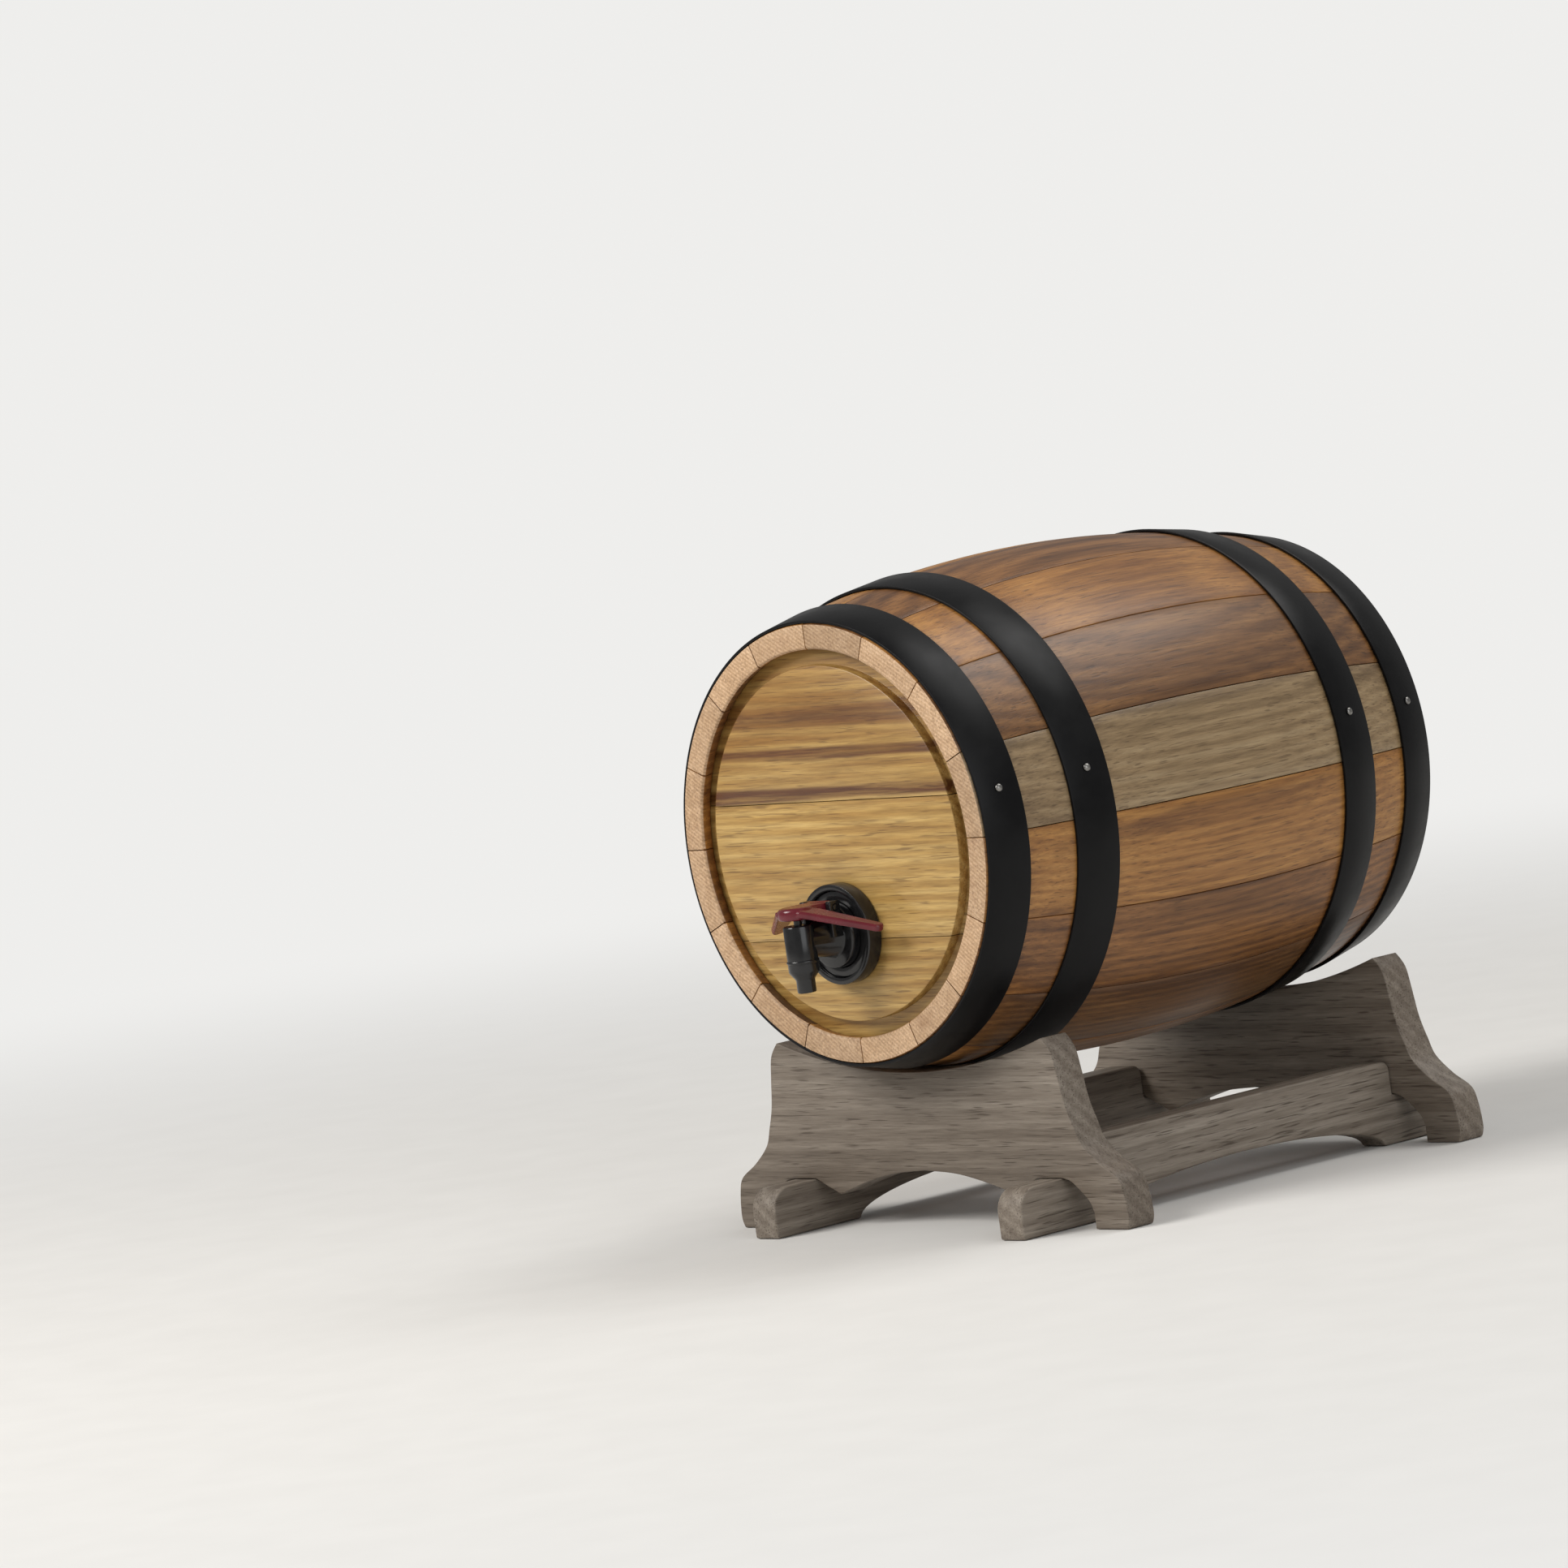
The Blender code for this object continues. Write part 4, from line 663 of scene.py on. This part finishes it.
for batten_name in ("lid_batten_left", "lid_batten_right"):
    low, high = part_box(batten_name)
    bpy.ops.object.select_all(action="DESELECT")
    bpy.ops.mesh.primitive_cube_add(size=1, location=(low + high) / 2, scale=high - low)
    batten = bpy.context.object
    batten.name = "beech_" + batten_name
    bpy.ops.object.transform_apply(location=True, rotation=True, scale=True)
    ease(batten, 0.0010, 3, 50)
    board_number(batten, 51)
    dress(batten, bare_wood, "lid", "inner_wood", batten_name)

# Thumbscrews. Two small brass screws with fluted heads hold the lid. The head is cut from round
# bar and its top is slightly dished.
knob_radius = 0.008
knob_height = 0.008
flute_depth = 0.0004
shank_radius = 0.002
shank_length = 0.0207
for side, side_name in ((-1, "left"), (1, "right")):
    foot = front_plane + lid_out + 0.0003
    outline = []
    for step in range(192):
        angle = 2 * math.pi * step / 192
        reach = knob_radius - flute_depth * (1 - math.cos(16 * angle)) / 2
        across = side * screw_offset + reach * math.cos(angle)
        outline.append((across, foot, axis_height + reach * math.sin(angle)))
    knob = draw("screw_" + side_name, outline)
    slab(knob, (0, knob_height - 0.0004, 0))
    for face in knob.data.polygons:
        face.select = face.normal.y > 0.9 and face.center.y > foot + 0.001
    bpy.ops.object.mode_set(mode="EDIT")
    bpy.ops.mesh.select_mode(type="FACE")
    bpy.ops.mesh.inset(thickness=0.0004, depth=0.0004)
    bpy.ops.mesh.inset(thickness=0.0010, depth=0.0)
    bpy.ops.mesh.inset(thickness=0.0008, depth=-0.0005)
    bpy.ops.mesh.select_mode(type="VERT")
    bpy.ops.object.mode_set(mode="OBJECT")
    shank_low = (side * screw_offset, foot - shank_length, axis_height)
    shank_high = (side * screw_offset, foot + 0.001, axis_height)
    combine(knob, rod("shank", shank_radius, shank_low, shank_high, vertices=48), "UNION")
    dress(knob, brass, side_name + "_screw", "brass", "thumbscrew_" + side_name)

# Wine bag. A part-full bag of metallised film lies in the lower half of the cask, against the
# staves, and its spout is held in the head. The film is creased and sags between folds.
film = bpy.data.materials.new("bag_film")
film.use_nodes = True
film_link = film.node_tree.links.new
film_shader = film.node_tree.nodes["Principled BSDF"]
film_shader.inputs["Metallic"].default_value = 0.9
film_place = node(film, "TexCoord")
film_crease = node(film, "TexVoronoi", feature="DISTANCE_TO_EDGE", Scale=38.0)
film_bend = node(film, "TexNoise", Scale=26.0, Detail=3.0, Roughness=0.6)
film_wrinkle = node(film, "TexNoise", Scale=140.0, Detail=3.0, Roughness=0.6)
film_mix = node(film, "Mix", data_type="VECTOR")
film_mix.inputs[0].default_value = 0.06
film_height = node(film, "Math", operation="MULTIPLY_ADD")
film_height.inputs[1].default_value = 0.35
film_bump = node(film, "Bump", Strength=0.9, Distance=0.0012)
film_tone = ramp(film, ((0.3, (0.42, 0.43, 0.45)), (0.7, (0.66, 0.66, 0.68))))
film_gloss = ramp(film, ((0.3, (0.20, 0.20, 0.20)), (0.7, (0.38, 0.38, 0.38))))
film_link(film_place.outputs["Object"], film_bend.inputs["Vector"])
film_link(film_place.outputs["Object"], film_wrinkle.inputs["Vector"])
film_link(film_place.outputs["Object"], film_mix.inputs[4])
film_link(film_bend.outputs["Color"], film_mix.inputs[5])
film_link(film_mix.outputs[1], film_crease.inputs["Vector"])
film_link(film_wrinkle.outputs["Fac"], film_height.inputs[0])
film_link(film_crease.outputs["Distance"], film_height.inputs[2])
film_link(film_height.outputs[0], film_bump.inputs["Height"])
film_link(film_wrinkle.outputs["Fac"], film_tone.inputs["Fac"])
film_link(film_wrinkle.outputs["Fac"], film_gloss.inputs["Fac"])
film_link(film_tone.outputs["Color"], film_shader.inputs["Base Color"])
film_link(film_gloss.outputs["Color"], film_shader.inputs["Roughness"])
film_link(film_bump.outputs["Normal"], film_shader.inputs["Normal"])
only(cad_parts["wine_bag"])
bpy.ops.object.duplicate(linked=False)
bag = bpy.context.object
bag.name = "film_bag"
bag.data.name = "film_bag"
for key in list(bag.keys()):
    del bag[key]
bag.parent = None
bpy.ops.object.mode_set(mode="EDIT")
bpy.ops.mesh.select_all(action="SELECT")
bpy.ops.mesh.remove_doubles(threshold=0.00001)
bpy.ops.object.mode_set(mode="OBJECT")
bpy.ops.object.modifier_add(type="REMESH")
bag.modifiers[-1].mode = "VOXEL"
bag.modifiers[-1].voxel_size = 0.0035
bpy.ops.object.modifier_apply(modifier=bag.modifiers[-1].name)
bpy.ops.object.modifier_add(type="SMOOTH")
bag.modifiers[-1].factor = 0.6
bag.modifiers[-1].iterations = 8
bpy.ops.object.modifier_apply(modifier=bag.modifiers[-1].name)
folds = bpy.data.textures.new("bag_folds", "CLOUDS")
folds.noise_scale = 0.028
folds.noise_depth = 2
bpy.ops.object.modifier_add(type="DISPLACE")
bag.modifiers[-1].texture = folds
bag.modifiers[-1].strength = 0.005
bag.modifiers[-1].mid_level = 1.0
bpy.ops.object.modifier_apply(modifier=bag.modifiers[-1].name)
bpy.ops.object.modifier_add(type="SUBSURF")
bag.modifiers[-1].levels = 1
bag.modifiers[-1].render_levels = 1
bpy.ops.object.modifier_apply(modifier=bag.modifiers[-1].name)
bpy.ops.object.shade_smooth()
bag.data.materials.clear()
bag.data.materials.append(film)
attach(bag, "cask")
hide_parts("wine_bag")

# Gland and collar. The bag's black spout passes through the head from behind: a flange inside, a
# neck, and a lip outside. A ring-shaped collar snaps in behind the lip and stands a little proud of it.
collar_back = head_face - 0.0003
collar_seat = collar_back - 0.0029
lip_back = collar_seat - 0.0003
lip_front = lip_back - 0.002
collar_front = lip_front - 0.0014
gloss_black = mottled("tap_plastic", 180.0, ((0.3, (0.0055, 0.0055, 0.006)), (0.75, (0.012, 0.012, 0.013))),
                      ((0.3, 0.15), (0.75, 0.27)), roughness=0.55)
uneven(gloss_black, 180.0, strength=0.12, depth=0.00004, detail=3.0, roughness=0.55)


def tap_turned(name, profile, closed=True, steps=96, edge=0.00035):
    """A piece turned about the tap's own level axis, from (radius, distance behind the stave ends)."""
    made = draw(name, [(r, front_plane + y, tap_height) for r, y in profile], closed=closed)
    spin_round(made, steps, centre=(0, 0, tap_height))
    if edge:
        ease(made, edge, 2, 50)
    return made


gland_profile = [(0.0135, 0.0143), (0.026, 0.0143), (0.026, 0.0123), (0.0161, 0.0123), (0.0161, lip_back)]
gland_profile += [(0.0172, lip_back), (0.0172, lip_front), (0.0135, lip_front)]
gland = tap_turned("bag_spout", gland_profile)
dress(gland, gloss_black, "cask", "tap_black", "tap_gland")
collar_profile = [(0.0164, collar_back), (0.0202, collar_back), (0.0202, collar_front), (0.0175, collar_front)]
collar_profile += [(0.0175, collar_seat), (0.0164, collar_seat)]
collar = tap_turned("spout_collar", collar_profile, edge=0.0005)
dress(collar, gloss_black, "cask", "tap_black", "gland_collar")

# Tap body. One glossy black moulding: a barrel pushed into the gland, a neck, an upright chamber
# with a ring round it and the spout below, and two ears for the lever's pin.
chamber_reach = 0.0240
chamber_y = front_plane - chamber_reach
pivot_y = front_plane - 0.0113
pivot_z = tap_height + 0.0118
pin_hole = 0.0015
inlet_bore = 0.0044
barrel_profile = [(0, 0.012), (0.0132, 0.012), (0.0132, 0.0068), (0.0107, 0.0068)]
barrel_profile += [(0.0107, 0.0032), (0.0132, 0.0032)]
barrel_profile += [(0.0132, -0.0070), (0.0129, -0.0077), (0.0122, -0.0080), (0.0098, -0.0080)]
barrel_profile += [(0.0090, -0.0083), (0.0084, -0.0092), (0.0056, -chamber_reach), (0, -chamber_reach)]
tap_body = tap_turned("tap_moulding", barrel_profile, closed=False, edge=0)
chamber_profile = [(0, 0.0068), (0.0056, 0.0068), (0.0060, 0.0066), (0.0062, 0.0062), (0.0062, -0.0068)]
chamber_profile += [(0.0064, -0.0070), (0.0066, -0.0073), (0.0066, -0.0077), (0.0064, -0.0080)]
chamber_profile += [(0.0062, -0.0082), (0.0062, -0.0112), (0.0060, -0.0118), (0.0042, -0.0142)]
chamber_profile += [(0.0038, -0.0149), (0.0038, -0.0193)]
chamber_profile += [(0.0037, -0.0198), (0.0034, -0.0200), (0, -0.0200)]


def upright(name, profile, closed=False, steps=72, edge=0.0):
    """A piece turned about the upright axis of the chamber, from (radius, height over the tap's axis)."""
    made = draw(name, [(r, chamber_y, tap_height + z) for r, z in profile], closed=closed)
    spin_round(made, steps, centre=(0, chamber_y, 0), axis=(0, 0, 1))
    if edge:
        ease(made, edge, 2, 50)
    return made


combine(tap_body, upright("chamber", chamber_profile), "UNION")
for side in (-1, 1):
    bpy.ops.object.select_all(action="DESELECT")
    bpy.ops.mesh.primitive_cube_add(size=1, location=(side * 0.00775, pivot_y, tap_height + 0.0073),
                                    scale=(0.0025, 0.0056, 0.0146))
    ear = bpy.context.object
    bpy.ops.object.transform_apply(location=True, rotation=True, scale=True)
    ease(ear, 0.0005, 2, 50)
    combine(tap_body, ear, "UNION")
valve_bore = [(0, 0.009), (0.0055, 0.009), (0.0055, 0.0055), (0.0046, 0.0055)]
valve_bore += [(0.0046, -0.006), (0.0026, -0.006), (0.0026, -0.008), (0.0042, -0.008)]
valve_bore += [(0.0042, -0.0133), (0.0030, -0.0133), (0.0030, -0.022), (0, -0.022)]
combine(tap_body, upright("valve_bore", valve_bore))
inlet_back = (0, front_plane + 0.014, tap_height)
combine(tap_body, rod("inlet", inlet_bore, (0, chamber_y, tap_height), inlet_back, vertices=48))
combine(tap_body, rod("pin_bore", pin_hole, (-0.012, pivot_y, pivot_z), (0.012, pivot_y, pivot_z), "X", 32))
dress(tap_body, gloss_black, "tap", "tap_black", "tap_body")

# Bonnet, stem, seals and pin. A press-in black bonnet guides the stem, which pushes a rubber-faced
# disc off the web in the spout. A black pin through the ears carries the lever.
rubber = mottled("seal_rubber", 700.0, ((0.3, (0.020, 0.020, 0.020)), (0.7, (0.036, 0.035, 0.034))),
                 ((0.3, 0.66), (0.7, 0.84)))
bonnet_line = [(0.0019, 0.0068), (0.0052, 0.0068), (0.0052, 0.0058), (0.0043, 0.0058)]
bonnet_line += [(0.0043, 0.0040), (0.0019, 0.0040)]
dress(upright("valve_bonnet", bonnet_line, True, edge=0.0002), gloss_black, "tap", "tap_black", "tap_bonnet")
stem_line = [(0, 0.0090), (0.0013, 0.0090), (0.0016, 0.0087), (0.0016, -0.0096)]
stem_line += [(0.0036, -0.0096), (0.0036, -0.0108), (0, -0.0108)]
dress(upright("valve_stem", stem_line), gloss_black, "valve", "tap_black", "tap_stem")
disc_line = [(0.0019, -0.0083), (0.0036, -0.0083), (0.0036, -0.0093), (0.0019, -0.0093)]
dress(upright("valve_disc_seal", disc_line, True, edge=0.0002), rubber, "valve", "seal_rubber", "valve_seal")
seal_line = [(0.0110, 0.0035), (0.0132, 0.0035), (0.0132, 0.0065), (0.0110, 0.0065)]
dress(tap_turned("barrel_ring_seal", seal_line, edge=0.0005), rubber, "tap", "seal_rubber", "barrel_seal")
pin = rod("lever_hinge_pin", 0.0012, (-0.0093, pivot_y, pivot_z), (0.0093, pivot_y, pivot_z), "X", 48)
ease(pin, 0.0002, 2, 50)
dress(pin, gloss_black, "tap", "pin_plastic", "lever_pin")

# Lever. A glossy burgundy moulding: a round thumb pad over the stem, a tongue back to the hinge
# knuckle, and two wings that fall to the sides for the fingers.
burgundy = mottled("lever_plastic", 120.0, ((0.3, (0.105, 0.007, 0.014)), (0.75, (0.150, 0.012, 0.022))),
                   ((0.3, 0.20), (0.75, 0.32)), roughness=0.55)
lever_middle = tap_height + 0.0118
lever_thickness = 0.0050
wing_fall = math.radians(20)
wing_root = 0.006
pad_line = [(0, 0.0143), (0.0056, 0.0143), (0.0066, 0.0140), (0.0073, 0.0133), (0.0075, 0.0125)]
pad_line += [(0.0075, 0.0103), (0.0072, 0.0096), (0.0066, 0.0093), (0, 0.0093)]
lever = upright("tap_handle", pad_line, steps=96)
bpy.ops.object.select_all(action="DESELECT")
bpy.ops.mesh.primitive_cube_add(size=1, location=(0, (pivot_y + chamber_y) / 2, lever_middle),
                                scale=(0.0124, pivot_y - chamber_y, lever_thickness))
tongue = bpy.context.object
bpy.ops.object.transform_apply(location=True, rotation=True, scale=True)
ease(tongue, 0.0006, 2, 50)
combine(lever, tongue, "UNION")
knuckle_ends = (-0.0062, pivot_y, pivot_z), (0.0062, pivot_y, pivot_z)
combine(lever, rod("knuckle", 0.0028, *knuckle_ends, "X", 48), "UNION")
for side in (-1, 1):
    wing_line = [(0, -0.0055)] + quarter((0.0245, 0.0150), 0.003, -70, 70, 10) + [(0, 0.0055)]
    wing = draw("wing", [(side * x, y, -0.0015) for x, y in wing_line])
    slab(wing, (0, 0, 0.003))
    ease(wing, 0.0009, 3, 50)
    wing.rotation_euler = (0, side * wing_fall, 0)
    wing.location = (side * wing_root, chamber_y, lever_middle)
    bpy.ops.object.transform_apply(location=True, rotation=True, scale=True)
    combine(lever, wing, "UNION")
combine(lever, rod("pin_room", pin_hole, (-0.01, pivot_y, pivot_z), (0.01, pivot_y, pivot_z), "X", 32))
bpy.ops.object.modifier_add(type="REMESH")
lever.modifiers[-1].mode = "VOXEL"
lever.modifiers[-1].voxel_size = 0.00035
bpy.ops.object.modifier_apply(modifier=lever.modifiers[-1].name)
bpy.ops.object.modifier_add(type="SMOOTH")
lever.modifiers[-1].factor = 0.6
lever.modifiers[-1].iterations = 7
bpy.ops.object.modifier_apply(modifier=lever.modifiers[-1].name)
dress(lever, burgundy, "lever", "lever_burgundy", "tap_lever")

# Studio. A plain pale floor that fades into the backdrop, soft light from the front left with a
# fill from the right, and a long lens at the height of the cask's middle.
bpy.ops.object.select_all(action="DESELECT")
bpy.ops.mesh.primitive_plane_add(size=24, location=(0, 0, -0.0002))
floor = bpy.context.object
floor.name = "floor"
paper = bpy.data.materials.new("floor_paper")
paper.use_nodes = True
paper_link = paper.node_tree.links.new
paper_shader = paper.node_tree.nodes["Principled BSDF"]
paper_shader.inputs["Roughness"].default_value = 0.7
paper_shader.inputs["Specular IOR Level"].default_value = 0.2
paper_place = node(paper, "TexCoord")
paper_noise = node(paper, "TexNoise", Scale=30.0, Detail=4.0)
paper_tone = ramp(paper, ((0.0, (0.70, 0.69, 0.67)), (1.0, (0.76, 0.75, 0.73))))
paper_far = node(paper, "VectorMath", operation="LENGTH")
paper_fade = node(paper, "MapRange", interpolation_type="SMOOTHSTEP")
paper_fade.inputs["From Min"].default_value = 0.35
paper_fade.inputs["From Max"].default_value = 1.6
paper_rays = node(paper, "LightPath")
paper_both = node(paper, "Math", operation="MULTIPLY")
paper_glow = node(paper, "Emission")
paper_glow.inputs["Color"].default_value = (0.86, 0.855, 0.84, 1)
paper_mix = node(paper, "MixShader")
paper_out = paper.node_tree.nodes["Material Output"]
paper_link(paper_place.outputs["Object"], paper_noise.inputs["Vector"])
paper_link(paper_noise.outputs["Fac"], paper_tone.inputs["Fac"])
paper_link(paper_tone.outputs["Color"], paper_shader.inputs["Base Color"])
paper_link(paper_place.outputs["Object"], paper_far.inputs[0])
paper_link(paper_far.outputs["Value"], paper_fade.inputs["Value"])
paper_link(paper_fade.outputs["Result"], paper_both.inputs[0])
paper_link(paper_rays.outputs["Is Camera Ray"], paper_both.inputs[1])
paper_link(paper_both.outputs[0], paper_mix.inputs["Fac"])
paper_link(paper_shader.outputs["BSDF"], paper_mix.inputs[1])
paper_link(paper_glow.outputs["Emission"], paper_mix.inputs[2])
paper_link(paper_mix.outputs["Shader"], paper_out.inputs["Surface"])
floor.data.materials.append(paper)

world = bpy.context.scene.world or bpy.data.worlds.new("studio")
bpy.context.scene.world = world
world.use_nodes = True
sky = world.node_tree.nodes["Background"]
sky.inputs["Color"].default_value = (0.86, 0.855, 0.84, 1)
sky_rays = world.node_tree.nodes.new("ShaderNodeLightPath")
sky_seen = world.node_tree.nodes.new("ShaderNodeMapRange")
sky_seen.inputs["To Min"].default_value = 0.36
sky_seen.inputs["To Max"].default_value = 1.0
world.node_tree.links.new(sky_rays.outputs["Is Camera Ray"], sky_seen.inputs["Value"])
world.node_tree.links.new(sky_seen.outputs["Result"], sky.inputs["Strength"])


def softbox(name, place, power, size, colour):
    """A square soft light aimed at the middle of the cask."""
    bpy.ops.object.light_add(type="AREA", location=place)
    lamp = bpy.context.object
    lamp.name = name
    lamp.data.energy = power
    lamp.data.size = size
    lamp.data.color = colour
    aim = Vector((0, 0, 0.14)) - Vector(place)
    lamp.rotation_euler = aim.to_track_quat("-Z", "Y").to_euler()
    return lamp


softbox("key", (-0.75, -1.75, 1.55), 46, 1.1, (1.0, 0.975, 0.94))
softbox("fill", (2.0, -0.55, 0.9), 11, 1.4, (0.96, 0.98, 1.0))
softbox("top", (0.5, 0.9, 1.9), 16, 1.2, (1.0, 0.99, 0.97))

bpy.ops.object.camera_add()
camera = bpy.context.object
camera.name = "camera"
bpy.context.scene.camera = camera
heading, tilt, roll = 0.85219, -0.07505, -0.13963
forward = Vector((-math.sin(heading) * math.cos(tilt), math.cos(heading) * math.cos(tilt), math.sin(tilt)))
level = Vector((math.cos(heading), math.sin(heading), 0))
above = level.cross(forward)
right = math.cos(roll) * level + math.sin(roll) * above
up = -math.sin(roll) * level + math.cos(roll) * above
placing = Matrix((right, up, -forward)).transposed().to_4x4()
placing.translation = (2.5252, -2.2295 + front_plane, 0.2797 + axis_height)
camera.matrix_world = placing
camera.data.sensor_width = 36
camera.data.lens = 195.70
camera.data.clip_end = 50
bpy.context.scene.view_settings.view_transform = "Standard"
